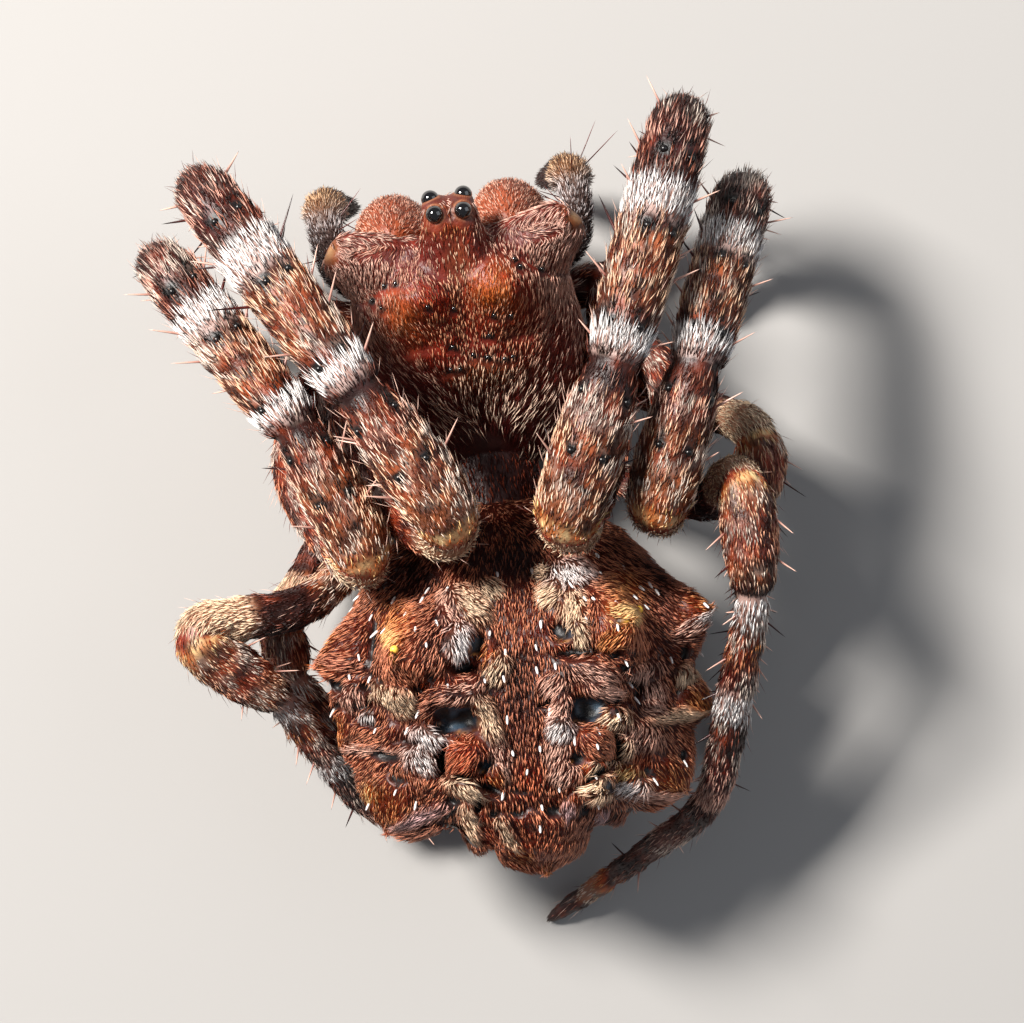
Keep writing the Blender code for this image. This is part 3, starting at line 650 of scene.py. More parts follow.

# %% [markdown]
# The streams of the back were laid out one by one over the photograph, left and right apart,
# because a living coat is never quite even. Between them the skin is tied down by muscles, in
# large glossy black hollows in two rows, given a painted bluish sheen with a painted glint at
# their rim. Narrow clefts lie between the tufts; their black is partly their own colour and
# partly painted shade.

# %% Abdomen: swellings and hollows of the back
# Rows: place, radii and turn in the picture, share of pale hair, height, then the pixel that
# the hair runs to, or the direction in the picture that it runs along
STREAMS = {
    "rust": (
        (345, 636, 26, 28, 0, 0.35, 0.10, TO, 321, 658), (402, 670, 26, 14, 10, 0.35, 0.06, ALONG, 0.6, 0.8),
        (383, 655, 12, 26, 0, 0.4, 0.04, ALONG, 0.75, 0.65),
        (368, 734, 26, 14, -10, 0.5, 0.08, TO, 329, 753),
        (413, 775, 20, 12, 30, 0.45, 0.05, ALONG, 0.5, 0.85), (432, 785, 17, 18, 0, 0.4, 0.06, TO, 395, 830),
        (521, 610, 22, 40, 0, 0.3, 0.03, ALONG, 0, 1), (637, 641, 12, 18, 0, 0.35, 0.04, ALONG, 0.1, 1),
        (593, 615, 10, 25, 0, 0.4, 0.04, ALONG, 0.1, 1),
        (595, 743, 19, 14, 20, 0.55, 0.12, ALONG, 0.88, 0.45),
    ),
    "orange": (
        (331, 630, 12, 16, 0, 0.2, 0.03, TO, 321, 658), (398, 618, 24, 22, 0, 0.28, 0.05, TO, 396, 650),
        (489, 652, 6, 9, 0, 0.3, 0.02, ALONG, -0.3, 0.95), (337, 724, 15, 20, 0, 0.22, 0.12, TO, 329, 753),
        (494, 774, 9, 11, 0, 0.3, 0.05, ALONG, 0.5, 0.85), (390, 800, 24, 26, 0, 0.1, 0.16, TO, 386, 833),
        (520, 850, 12, 10, 0, 0.15, 0.03, TO, 537, 866), (697, 598, 14, 15, 0, 0.2, 0.05, TO, 718, 611),
        (620, 588, 22, 22, 0, 0.3, 0.05, TO, 642, 613),
        (616, 634, 22, 13, -20, 0.5, 0.05, ALONG, -0.75, 0.65),
        (696, 698, 19, 17, 0, 0.28, 0.12, TO, 714, 717), (589, 765, 6, 6, 0, 0.2, 0.0, ALONG, -0.5, 0.85),
        (666, 779, 27, 22, 0, 0.12, 0.10, TO, 689, 798),
    ),
    "dark rust": (
        (352, 663, 34, 8, 5, 0.45, 0.04, TO, 321, 658), (433, 640, 20, 30, 0, 0.42, 0.06, ALONG, -0.5, 0.85),
        (443, 703, 24, 15, 0, 0.5, 0.12, ALONG, -1, 0.1), (430, 831, 34, 5, -12, 0.5, 0.03, TO, 380, 834),
        (688, 580, 24, 10, 30, 0.35, 0.02, TO, 718, 611), (582, 818, 15, 17, 0, 0.5, 0.05, TO, 548, 864),
    ),
    "amber": (
        (395, 634, 10, 9, 0, 0.5, 0.03, TO, 396, 650), (374, 785, 9, 10, 0, 0.2, 0.02, TO, 386, 833),
        (622, 612, 16, 10, 0, 0.75, 0.05, TO, 642, 613), (628, 771, 13, 8, 0, 0.4, 0.05, ALONG, -0.9, 0.3),
    ),
    "cream": (
        (468, 602, 25, 13, 40, 0.8, 0.12, ALONG, 0.7, 0.7),
        (487, 588, 12, 10, 0, 0.85, 0.05, ALONG, 0.6, 0.8),
        (498, 667, 11, 16, 20, 0.6, 0.10, ALONG, -0.5, 0.85),
        (385, 692, 18, 12, 20, 0.65, 0.10, ALONG, 0.85, 0.5),
        (402, 701, 14, 15, 20, 0.92, 0.15, ALONG, 0.9, 0.45),
        (485, 714, 10, 27, -25, 0.97, 0.15, ALONG, 0.5, 0.86),
        (465, 787, 20, 10, 25, 0.92, 0.16, TO, 487, 799),
        (469, 822, 9, 24, -10, 0.85, 0.06, ALONG, 0.8, 0.5),
        (507, 832, 7, 24, -28, 0.85, 0.05, TO, 524, 862),
        (552, 592, 11, 12, 0, 0.92, 0.10, ALONG, -0.75, 0.65),
        (572, 608, 12, 22, 0, 0.85, 0.10, ALONG, 0.2, 1),
        (579, 633, 8, 15, -15, 0.96, 0.12, ALONG, 0.35, 0.93), (541, 572, 7, 6, 0, 0.95, 0.08, TO, 541, 572),
        (686, 673, 11, 9, 0, 0.75, 0.08, ALONG, -0.3, 0.95), (680, 715, 34, 8, 0, 0.93, 0.08, TO, 716, 718),
        (617, 717, 14, 9, 0, 0.82, 0.12, ALONG, -0.95, 0.3),
        (625, 746, 9, 10, 0, 0.85, 0.10, ALONG, -0.8, 0.6), (599, 786, 18, 13, 10, 0.93, 0.16, TO, 580, 789),
        (602, 765, 14, 5, -15, 0.85, 0.08, ALONG, -0.9, 0.4),
    ),
    "pink": (
        (449, 605, 9, 18, 0, 0.6, 0.08, ALONG, 0.25, 0.97),
        (463, 690, 24, 9, -25, 0.55, 0.10, ALONG, -0.85, 0.5),
        (353, 696, 14, 15, 0, 0.6, 0.10, ALONG, 0.35, 0.95), (375, 750, 44, 6, -2, 0.7, 0.04, TO, 322, 753),
        (500, 755, 10, 24, -10, 0.6, 0.05, ALONG, 0.3, 0.95),
        (685, 633, 17, 8, -20, 0.5, 0.03, TO, 718, 611),
        (590, 672, 26, 11, 12, 0.55, 0.10, ALONG, 0.92, 0.3),
        (602, 690, 17, 8, 8, 0.9, 0.10, ALONG, 1, 0.15), (555, 684, 14, 12, 0, 0.65, 0.08, ALONG, -0.7, 0.7),
        (644, 670, 20, 10, -15, 0.5, 0.08, ALONG, -0.7, 0.65),
        (651, 690, 14, 13, 0, 0.5, 0.06, ALONG, 0.05, 1), (651, 706, 12, 8, 0, 0.6, 0.05, TO, 714, 717),
        (562, 709, 12, 15, 20, 0.8, 0.12, ALONG, -0.7, 0.7),
        (557, 748, 14, 14, 0, 0.55, 0.05, ALONG, -0.35, 0.93),
        (641, 733, 24, 14, 20, 0.5, 0.08, ALONG, -0.85, 0.5),
        (564, 771, 14, 12, 0, 0.6, 0.06, ALONG, -0.5, 0.85), (652, 796, 38, 7, 8, 0.85, 0.05, TO, 694, 800),
    ),
    "white": (
        (459, 640, 11, 20, 5, 0.9, 0.15, ALONG, 0.1, 1), (367, 715, 7, 4, 0, 0.8, 0.03, ALONG, 0, 1),
        (427, 736, 21, 11, 12, 0.8, 0.15, ALONG, 0.93, 0.35),
        (421, 757, 16, 13, 30, 0.72, 0.15, ALONG, 0.7, 0.7),
        (700, 621, 24, 8, -20, 0.85, 0.05, TO, 719, 610), (568, 572, 21, 14, 0, 0.8, 0.10, ALONG, 0.05, 1),
        (561, 727, 12, 10, 20, 0.9, 0.10, ALONG, -0.6, 0.8),
        (634, 786, 15, 10, 0, 0.95, 0.08, ALONG, -0.95, 0.2),
    ),
    "fire": (
        (465, 757, 21, 14, -10, 0.5, 0.15, ALONG, -0.8, 0.55),
        (532, 835, 44, 26, 0, 0.25, 0.12, TO, 537, 866), (484, 828, 12, 14, 0, 0.3, 0.03, TO, 512, 858),
        (528, 775, 15, 22, 0, 0.3, 0.02, ALONG, 0.05, 1), (645, 757, 14, 9, 0, 0.3, 0.02, ALONG, -0.4, 0.9),
    ),
    "lilac": (
        (424, 815, 38, 9, -27, 0.9, 0.08, TO, 384, 834), (568, 808, 7, 9, 0, 0.9, 0.03, ALONG, 0.1, 1),
        (606, 814, 6, 8, 0, 0.8, 0.02, ALONG, -0.3, 0.95),
    ),
    "umber": (
        (521, 700, 20, 70, 0, 0.35, 0.03, ALONG, 0.05, 1), (512, 560, 40, 16, 0, 0.15, 0.0, ALONG, 0, 1),
        # In the next line, the row at (420, 575) is painted shadow near the knees, not a marking.
        (420, 575, 26, 22, 0, 0.15, 0.0, ALONG, 0.1, 1), (662, 600, 14, 42, 0, 0.35, 0.0, ALONG, 0.6, 0.8),
        (655, 560, 30, 18, 0, 0.3, 0.0, ALONG, 0.6, 0.8),
        # The next row, at (610, 822), is painted shadow, not a marking.
        (610, 822, 26, 12, -20, 0.25, 0.0, ALONG, -0.8, 0.6),
    ),
}
# The large hollows are glossy black, with a painted bluish sheen.
# Rows: place, radii and turn in the picture, depth
BLUE_HOLLOWS = (
    (477, 643, 8, 11, 10, 0.16), (561, 631, 9, 11, -40, 0.16), (484, 765, 7, 8, 0, 0.12),
    (577, 757, 7, 7, 0, 0.12), (457, 719, 21, 13, 15, 0.36), (588, 711, 18, 14, -10, 0.36),
    (610, 784, 8, 7, 0, 0.14),
)
# Narrow clefts and small pits, painted black: partly their own colour, partly painted shade between tufts.
DARK_HOLLOWS = (
    (463, 667, 12, 7, 0, 0.24), (576, 652, 22, 5, -5, 0.22), (419, 687, 6, 4, 10, 0.12),
    (431, 676, 4, 3.5, 0, 0.1), (381, 681, 4, 3, 0, 0.08), (367, 686, 7, 4, 10, 0.1),
    (337, 686, 10, 6, 20, 0.16), (415, 705, 13, 4, 121, 0.22), (335, 703, 9, 4, -10, 0.14),
    (360, 705, 8, 3, -5, 0.1), (372, 722, 12, 3, 5, 0.1), (387, 757, 15, 4, 5, 0.1),
    (412, 741, 8, 3, 0, 0.08), (443, 757, 20, 5, 90, 0.24), (440, 730, 14, 4, 20, 0.2),
    (398, 779, 8, 5, 0, 0.1), (489, 789, 16, 4, 28, 0.22), (460, 777, 12, 3, 5, 0.14),
    (455, 800, 7, 6, 0, 0.14), (477, 806, 9, 4, 90, 0.16), (461, 838, 22, 5, 30, 0.2),
    (494, 813, 5, 5, 0, 0.1), (518, 812, 7, 4, 0, 0.06), (552, 810, 8, 7, 0, 0.07),
    (585, 808, 8, 4, 90, 0.06), (613, 654, 6, 4, 0, 0.12), (624, 667, 4, 3, 0, 0.1),
    (633, 681, 10, 4, 15, 0.16), (637, 691, 5, 5, 0, 0.12), (632, 651, 4, 3, 0, 0.06),
    (684, 653, 8, 5, 90, 0.12), (702, 674, 6, 5, 0, 0.1), (613, 702, 9, 3, -10, 0.14),
    (618, 744, 14, 5, 80, 0.22), (597, 773, 28, 4, -38, 0.2), (648, 768, 6, 4, 90, 0.06),
    (682, 755, 5, 5, 0, 0.1), (545, 703, 7, 3, -10, 0.1), (375, 640, 34, 3, 95, 0.08),
    (520, 790, 10, 3, 10, 0.05),
)
BACK_BACKGROUND = 0.05
# The rows are read off at their visible edge, and hair fills some of what lies inside it, so
# swellings are made higher, and hollows deeper and wider, than their rows say
HIGHER, DEEPER = 1.5, 1.3
BLUE_WIDER, DARK_MARGIN = 1.3, 0.035
SIGHTING_GRID = 500
# Clefts between the lobes of the rim: degrees from the right towards the head, width, depth
CLEFTS = (
    (171, 6, 0.16), (199, 6, 0.22), (238, 7, 0.42), (253, 3, 0.2),
    (290, 6, 0.3), (303, 4, 0.2), (-3, 6, 0.18), (-25, 6, 0.22),
)
seen_u = np.linspace(0.005, 0.995, SIGHTING_GRID)
seen_v = np.linspace(-0.27, 0.27, SIGHTING_GRID)
seen_ball = ball(*(grid.ravel() for grid in np.meshgrid(seen_u, seen_v)))
BACK_SEEN = Sighting(cushion(seen_ball) + lobe_pull(seen_ball)[0])
BACK = Streams(STREAMS, BACK_SEEN, BACK_BACKGROUND, 0.1)
BACK.rows[:, 6] *= HIGHER
hollows = BLUE_HOLLOWS + DARK_HOLLOWS
HOLLOW_ROWS = np.array([(*ellipse_in_plan(BACK_SEEN, *row[:5]), row[5]) for row in hollows])
IS_BLUE = np.arange(len(hollows)) < len(BLUE_HOLLOWS)
HOLLOW_ROWS[IS_BLUE, 2:4] *= BLUE_WIDER
HOLLOW_ROWS[~IS_BLUE, 2:4] += DARK_MARGIN
HOLLOW_ROWS[:, 5] *= DEEPER


def hollows_at(x, y):
    """How deep the hollows are at each place, how far inside one it is, and inside a bluish one."""
    inside = 1 - step_up(ellipse_distance(x, y, HOLLOW_ROWS), 0.85, 0.14)
    return inside @ HOLLOW_ROWS[:, 5], inside.max(1), inside[:, IS_BLUE].max(1)


def abdomen_skin(u, v):
    """The cushion, pulled out by its lobes, swollen under each stream and sunk at the hollows."""
    n = ball(u, v)
    drawn = cushion(n, COAT_DEPTH) + lobe_pull(n)[0] * 0.97
    x, y, top = drawn[:, 0], drawn[:, 1], np.clip(n[:, 2] * 5, 0, 1)
    drawn[:, 2] += (BACK.height(x, y) - hollows_at(x, y)[0] - 0.03) * top
    grain = mottle(drawn, 0.45) - 0.5
    drawn += n * (grain * 0.07)[:, None]
    turn = np.degrees(np.arctan2(y - ABDOMEN_MIDDLE[1], x))
    rim = np.exp(-((n[:, 2] - 0.05) / 0.42) ** 2)
    for direction, width, depth in CLEFTS:
        away = (turn - direction + 180) % 360 - 180
        drawn[:, :2] -= (rim * depth * np.exp(-(away / width) ** 2))[:, None] * unit(n[:, :2] + 1e-9)
    return drawn


def abdomen_centre(u):
    """Points on the abdomen's own axis, to tell out from in."""
    return ABDOMEN_MIDDLE[None] + np.stack([0 * u, 1.5 * np.cos(math.pi * u), 0 * u], 1)


print(len(BACK.rows), "swellings,", len(HOLLOW_ROWS), "hollows")

# %% [markdown]
# Markings of the back. Each stream brings its own colours: a darker band down the middle,
# cream and white streaks beside it, orange on the lobes. Where no stream rules, the hair is
# rust red and the lobes end in yellow tips. Every white peg stands in a small dark socket.

# %% Abdomen: markings and coat
PEG_PIXELS = (
    (497, 573), (430, 588), (448, 588), (424, 599), (396, 597), (358, 594), (350, 605), (490, 600),
    (407, 614), (373, 615), (435, 621), (416, 628), (387, 629), (379, 631), (341, 637), (328, 625),
    (489, 631), (424, 644), (357, 655), (506, 650), (453, 665), (350, 675), (371, 678), (447, 684),
    (502, 676), (484, 679), (332, 710), (421, 709), (377, 728), (410, 728), (507, 716), (512, 751),
    (416, 801), (397, 789), (372, 800), (504, 792), (528, 770), (532, 569), (554, 570), (569, 584),
    (596, 555), (599, 573), (622, 566), (650, 560), (649, 583), (638, 587), (656, 590), (684, 583),
    (702, 603), (644, 605), (632, 596), (616, 603), (593, 598), (584, 598), (586, 618), (617, 624),
    (541, 596), (541, 622), (590, 647), (536, 645), (555, 664), (536, 668), (625, 660), (671, 658),
    (702, 653), (704, 683), (678, 695), (628, 684), (634, 698), (616, 713), (551, 709), (595, 729),
    (574, 736), (541, 746), (596, 744), (683, 762), (652, 778), (559, 786), (595, 777), (597, 803),
    (541, 805), (540, 825),
)
PEG_XY = BACK_SEEN.plan(PEG_PIXELS)
SOCKET_SHIFT = np.array((0.01, 0.05))
SOCKET_RADIUS = 0.055


def near_peg(x, y):
    """How far inside the dark socket of a peg each place lies."""
    far = np.full(len(x), 9.0)
    for px, py in PEG_XY + SOCKET_SHIFT:
        far = np.minimum(far, (x - px) ** 2 + (y - py) ** 2)
    return np.exp(-(far / SOCKET_RADIUS ** 2) ** 2)


def abdomen_marks(u, v, places):
    """Hair and skin colours of the abdomen, by place."""
    x, y, z = places.T
    n = ball(u, v)
    _, lobe = lobe_pull(n)
    _, inside, blue = hollows_at(x, y)
    top = step_up(n[:, 2], 0.02, 0.05)
    cloud, speck = mottle(places, 0.45), mottle(places, 0.16, 5)
    side_hair = blend(alike(COATS["rust"][0], len(x)), COATS["dark rust"][0], cloud * 1.3 - 0.2)
    side_hair = blend(side_hair, COATS["orange"][0], (lobe * 1.3 - 0.4) * (0.5 + speck))
    side_hair = blend(side_hair, BROWN * 0.7, (1 - top) * 0.5)
    side_pale = alike(COATS["rust"][1], len(x))
    hair, pale, share = BACK.colours(x, y, side_hair, side_pale, 0.3 + 0.2 * (cloud - 0.5))
    hair = hair * top[:, None] + side_hair * (1 - top[:, None])
    pale = pale * top[:, None] + side_pale * (1 - top[:, None])
    hair = hair * (0.45 + 0.7 * speck)[:, None]
    socket = near_peg(x, y) * top
    tip = np.zeros(len(x))
    for place, _, _ in LOBES[:5]:
        tip = np.maximum(tip, np.exp(-np.sum((places - place) ** 2, 1) / 0.02))
    # Skin is painted darker than its hair, as shade in the gaps between hairs. It is black in the pegs'
    # sockets and the hollows; in the narrow clefts that black is partly painted shade between tufts.
    skin = blend(hair * 0.35, BLACK, np.maximum(inside, socket) * top * 1.1)
    # Painted sheen: a mottled bluish tint in the large hollows.
    skin = blend(skin, BLUE_SHEEN, blue * top * (mottle(places, 0.12, 31) * 2.2 - 0.9))
    # Painted glint: a mottled amber ring at the rim of the large hollows.
    skin = blend(skin, AMBER, np.exp(-((1 - blue) * 8 - 4) ** 2) * top * (speck * 2 - 1.0) * (blue > 0.02))
    skin = blend(skin, YELLOW, tip * 1.1)
    bare = np.maximum(inside * top - 0.1, socket * 0.9)
    width = 1 + 0.35 * (share - 0.5) * top
    return {"skin": skin, "hair": blend(hair, AMBER, tip), "pale": pale, "share": np.clip(share, 0.04, 0.97),
            "bare": np.maximum(bare, (tip > 0.6) * 1.0), "length": 0.9 + 0.25 * share, "width": width}


def abdomen_lie(places, normals, along, around):
    """Hair runs to each swelling's point, and on the sides back and to the tips of the lobes."""
    x, y, z = places.T
    away = np.stack([x * 0.16, -1.0 + 0 * x, -0.25 + 0 * x], 1)
    for place, _, _ in LOBES[:9]:
        towards = place - places
        distance = np.linalg.norm(towards, axis=1)
        away += towards / distance[:, None] * (2.2 * np.exp(-(distance / 0.85) ** 2))[:, None]
    above = step_up(normals[:, 2], 0.1, 0.06)[:, None]
    return BACK.lie(x, y, unit(away)) * above + unit(away) * (1 - above)


def mostly_above(u, v, places, normals):
    """Full coat on the back and sides, a thinner one on the belly."""
    return np.where(normals[:, 2] > -0.35, 1.0, 0.35)


dress("abdomen", "", abdomen_skin, abdomen_centre, abdomen_marks, abdomen_lie, (250, 396), "abdomen",
      ("abdomen",), count=72000, seed=1, length=0.22, width=0.0105, lift=0.42, wanted=mostly_above)

# %% [markdown]
# The carapace, the shield over head and chest, is wide and square in front, with a horn at
# each corner that carries a pair of side eyes, and a mound in the middle for the four main
# eyes. It is a stretched ball whose front is squared off by a power of the direction, with the
# horns and the mound drawn out of it as the lobes were.

# %% Carapace: shape
CARAPACE_MIDDLE_Y = 3.15
FRONT_EYE = np.array((0.29, 5.7, 4.8))
CARAPACE_FRONT_LENGTH = 2.05
CARAPACE_REAR_LENGTH = 2.35
CARAPACE_HALF_WIDTH = 2.2
CARAPACE_WIDEST = 0.3
CARAPACE_UNDERCUT = 0.22
CARAPACE_FLOOR = 1.74
FACE_SQUARENESS = 0.8
REAR_SQUARENESS = 0.45
REAR_NARROWING = 0.1
HEAD_BUMP = (0.82, 3.95)
HORN_TIP = np.array((2.25, 5.1, 4.35))
# Dents, alike on both sides: middle from above, depth, radii
HEAD_DENTS = (
    ((0.0, 3.7), 0.14, (0.28, 0.9)), ((0.0, 1.95), 0.3, (0.4, 0.45)), ((0.95, 3.2), 0.08, (0.3, 0.16)),
    ((1.3, 4.75), 0.07, (0.4, 0.12)), ((1.5, 3.2), 0.06, (0.12, 0.6)),
)
# The mound: middle of its foot from above, half width and half length, and how far it is pushed out
MOUND_FOOT = (0.0, 4.76)
MOUND_HALF_SIZE = (0.52, 0.36)
MOUND_PUSH = np.array((0.0, 0.74, 0.42))
# The ridge between mound and horn: its place from above on the right, and how far it is pushed forward
BROW = (1.25, 5.0)
BROW_PUSH = np.array((0.0, 0.24, 0.08))
# Rows as for the back, but in the pixels of an enlargement of the head
HEAD_STREAMS = {
    "orange": (
        (370, 655, 80, 85, 0, 0.16, 0.08, ALONG, 0.1, 1), (780, 530, 100, 80, 0, 0.2, 0.08, ALONG, 0.05, 1),
        (600, 330, 120, 50, 0, 0.35, 0.0, ALONG, 0, 1),
    ),
    "fire": (
        (540, 610, 110, 80, 0, 0.15, 0.04, ALONG, 0.1, 1), (930, 600, 90, 100, 0, 0.2, 0.04, ALONG, 0.0, 1),
        (480, 790, 200, 80, 0, 0.3, 0.0, ALONG, 0.1, 1),
    ),
    "maroon": (
        (300, 490, 170, 80, -10, 0.6, 0.0, ALONG, -0.3, 0.95),
        (880, 400, 200, 70, 10, 0.55, 0.0, ALONG, 0.25, 0.97),
        (470, 440, 120, 60, 0, 0.6, 0.0, ALONG, 0.1, 1), (1080, 480, 80, 100, 0, 0.6, 0.0, ALONG, 0.3, 0.95),
        (200, 560, 60, 90, 0, 0.6, 0.0, ALONG, -0.2, 0.97),
        (440, 900, 130, 80, 20, 0.4, 0.0, ALONG, 0.8, 0.6),
        (620, 1060, 160, 80, 20, 0.62, 0.0, TO, 800, 1200),
        (950, 1020, 130, 90, -20, 0.62, 0.0, TO, 780, 1200),
        (1090, 760, 60, 200, 0, 0.2, 0.0, ALONG, -0.2, 1),
        (800, 1280, 170, 110, 0, 0.05, 0.0, TO, 790, 1230),
    ),
    "cream": (
        (640, 450, 60, 100, 0, 0.85, 0.02, ALONG, 0.1, 1), (750, 890, 190, 60, -8, 0.5, 0.03, ALONG, 0.0, 1),
    ),
    "rust": (
        (280, 365, 120, 30, -5, 0.3, 0.05, ALONG, -0.9, 0.2),
        (900, 760, 150, 110, 0, 0.42, 0.0, ALONG, -0.1, 1),
    ),
    "pink": (
        (980, 250, 120, 40, -10, 0.5, 0.05, ALONG, 0.9, -0.2),
    ),
}
HEAD_ENLARGED, HEAD_CORNER = 4.053, (300, 150)


def carapace_body(n, inset=COAT_DEPTH):
    """The shield without horns or mound: a ball widened in front and behind, higher at the face."""
    front, rear = np.clip(n[:, 1], 0, 1), np.clip(-n[:, 1], 0, 1)
    wider = 1 + FACE_SQUARENESS * front ** 3 + REAR_SQUARENESS * rear ** 3
    x = (CARAPACE_HALF_WIDTH - inset) * n[:, 0] * wider
    x *= (1 - REAR_NARROWING * rear) * (1 - CARAPACE_UNDERCUT * np.clip(CARAPACE_WIDEST - n[:, 2], 0, 1))
    length = np.where(n[:, 1] > 0, CARAPACE_FRONT_LENGTH, CARAPACE_REAR_LENGTH) - inset
    y = CARAPACE_MIDDLE_Y + length * n[:, 1]
    height = 1.42 - inset + 0.7 * n[:, 1] - 0.2 * n[:, 1] ** 2
    z = 2.9 + 0.75 * n[:, 1] + np.where(n[:, 2] > 0, height, 1.6) * n[:, 2]
    return np.stack([x, y, np.maximum(z, CARAPACE_FLOOR)], 1)


def hump_height(x, y):
    """The two humps behind the eyes."""
    return patch(np.abs(x), y, HEAD_BUMP, (0.46, 0.46))


head_form = carapace_body(seen_ball, 0.0)
head_form[:, 2] += 0.3 * hump_height(head_form[:, 0], head_form[:, 1])
HEAD_SEEN = Sighting(head_form)
HEAD = Streams(HEAD_STREAMS, HEAD_SEEN, 0.06, enlarged=HEAD_ENLARGED, corner=HEAD_CORNER)


def nearest_direction(shape, target):
    """The direction on a unit ball whose place on a shape lies nearest a target, searched on a grid."""
    u, v = np.meshgrid(np.linspace(0.01, 0.99, 150), np.linspace(0, 1, 240))
    n = ball(u.ravel(), v.ravel())
    return n[np.argmin(np.sum((shape(n) - target) ** 2, 1))]


HORNS = [(tip, nearest_direction(carapace_body, tip * (0.86, 0.965, 0.97))) for tip in both_sides(HORN_TIP)]
HORN_SPREAD = 0.34
# Each main eye sits in a cup of skin: where it is, which way it looks, and how far the cup reaches up it
EYE_CUPS = [(place * (sign, 1, 1), np.array(look) * (sign, 1, 1)) for sign in (1, -1) for place, look in (
    (REAR_EYE, (0.33, -0.2, 0.92)), (FRONT_EYE, (0.3, 0.92, 0.25)))]
EYE_CUP_REACH = 0.035


def carapace_skin(u, v):
    """The shield with its humps, middle groove, rear pit, blunt horns and the flat mound of the eyes."""
    n = ball(u, v)
    places = carapace_body(n)
    top = n[:, 2] > 0
    x, y = places[:, 0].copy(), places[:, 1].copy()
    places[:, 2] += 0.26 * hump_height(x, y) * top
    places[:, 2] += HEAD.height(x, y) * top
    for centre, depth, radii in HEAD_DENTS:
        places[:, 2] -= depth * patch(np.abs(x), y, centre, radii) * top
    for tip, direction in HORNS:
        pull = tip - carapace_body(direction[None])[0]
        share = np.clip(1.3 - 1.3 * np.arccos(np.clip(n @ direction, -1, 1)) / HORN_SPREAD, 0, 1)
        places += np.sin(share * math.pi / 2)[:, None] ** 1.3 * pull * 0.9
    brow = patch(np.abs(x), y, BROW, (0.75, 0.28)) * step_up(n[:, 2], 0.1, 0.05)
    places += brow[:, None] * BROW_PUSH
    foot = np.hypot((x - MOUND_FOOT[0]) / MOUND_HALF_SIZE[0], (y - MOUND_FOOT[1]) / MOUND_HALF_SIZE[1])
    places += (step_up(1 - foot, 0.0, 0.07) * top)[:, None] * MOUND_PUSH
    grain = mottle(places, 0.3, 3) - 0.5
    places += n * (grain * 0.05)[:, None]
    for eye, look in EYE_CUPS:
        above = (places - eye) @ look
        out = np.linalg.norm(places - eye - above[:, None] * look, axis=1)
        lift = (EYE_CUP_REACH - above) * np.exp(-(out / 0.21) ** 4) * (np.abs(above) < 0.5) * top
        places += lift[:, None] * look
    return places


def carapace_centre(u):
    """Points on the shield's own axis."""
    return np.stack([0 * u, 3.15 + 1.2 * np.cos(math.pi * u), 2.9 + 0.5 * np.cos(math.pi * u)], 1)

# %% [markdown]
# The shield is brick red, orange over the two humps, with a broken row of black spots behind
# them, and dark maroon where it slopes down to the waist, with painted black shadow at the foot
# of that slope. The horn tips carry a painted pale highlight. Its hair is short in front, pale on
# the flanks, and longer and paler on the rear slope. It points in to the middle and back.

# %% Carapace: markings and coat
# In the pixels of the enlargement of the head
BLACK_SPOTS = (
    (515, 635), (620, 640), (870, 440), (980, 480), (785, 668), (855, 668), (340, 550), (385, 540),
    (290, 610), (895, 470), (330, 640),
)
BLACK_ROW = ((610, 890), (650, 885), (700, 830), (760, 840), (830, 845), (620, 795), (770, 750), (860, 840))
SPOT_XY, ROW_XY = (
    HEAD_SEEN.plan(np.array(pixels) / HEAD_ENLARGED + HEAD_CORNER) for pixels in (BLACK_SPOTS, BLACK_ROW))
MAIN_EYES = np.array([*both_sides(REAR_EYE), *both_sides(FRONT_EYE)])


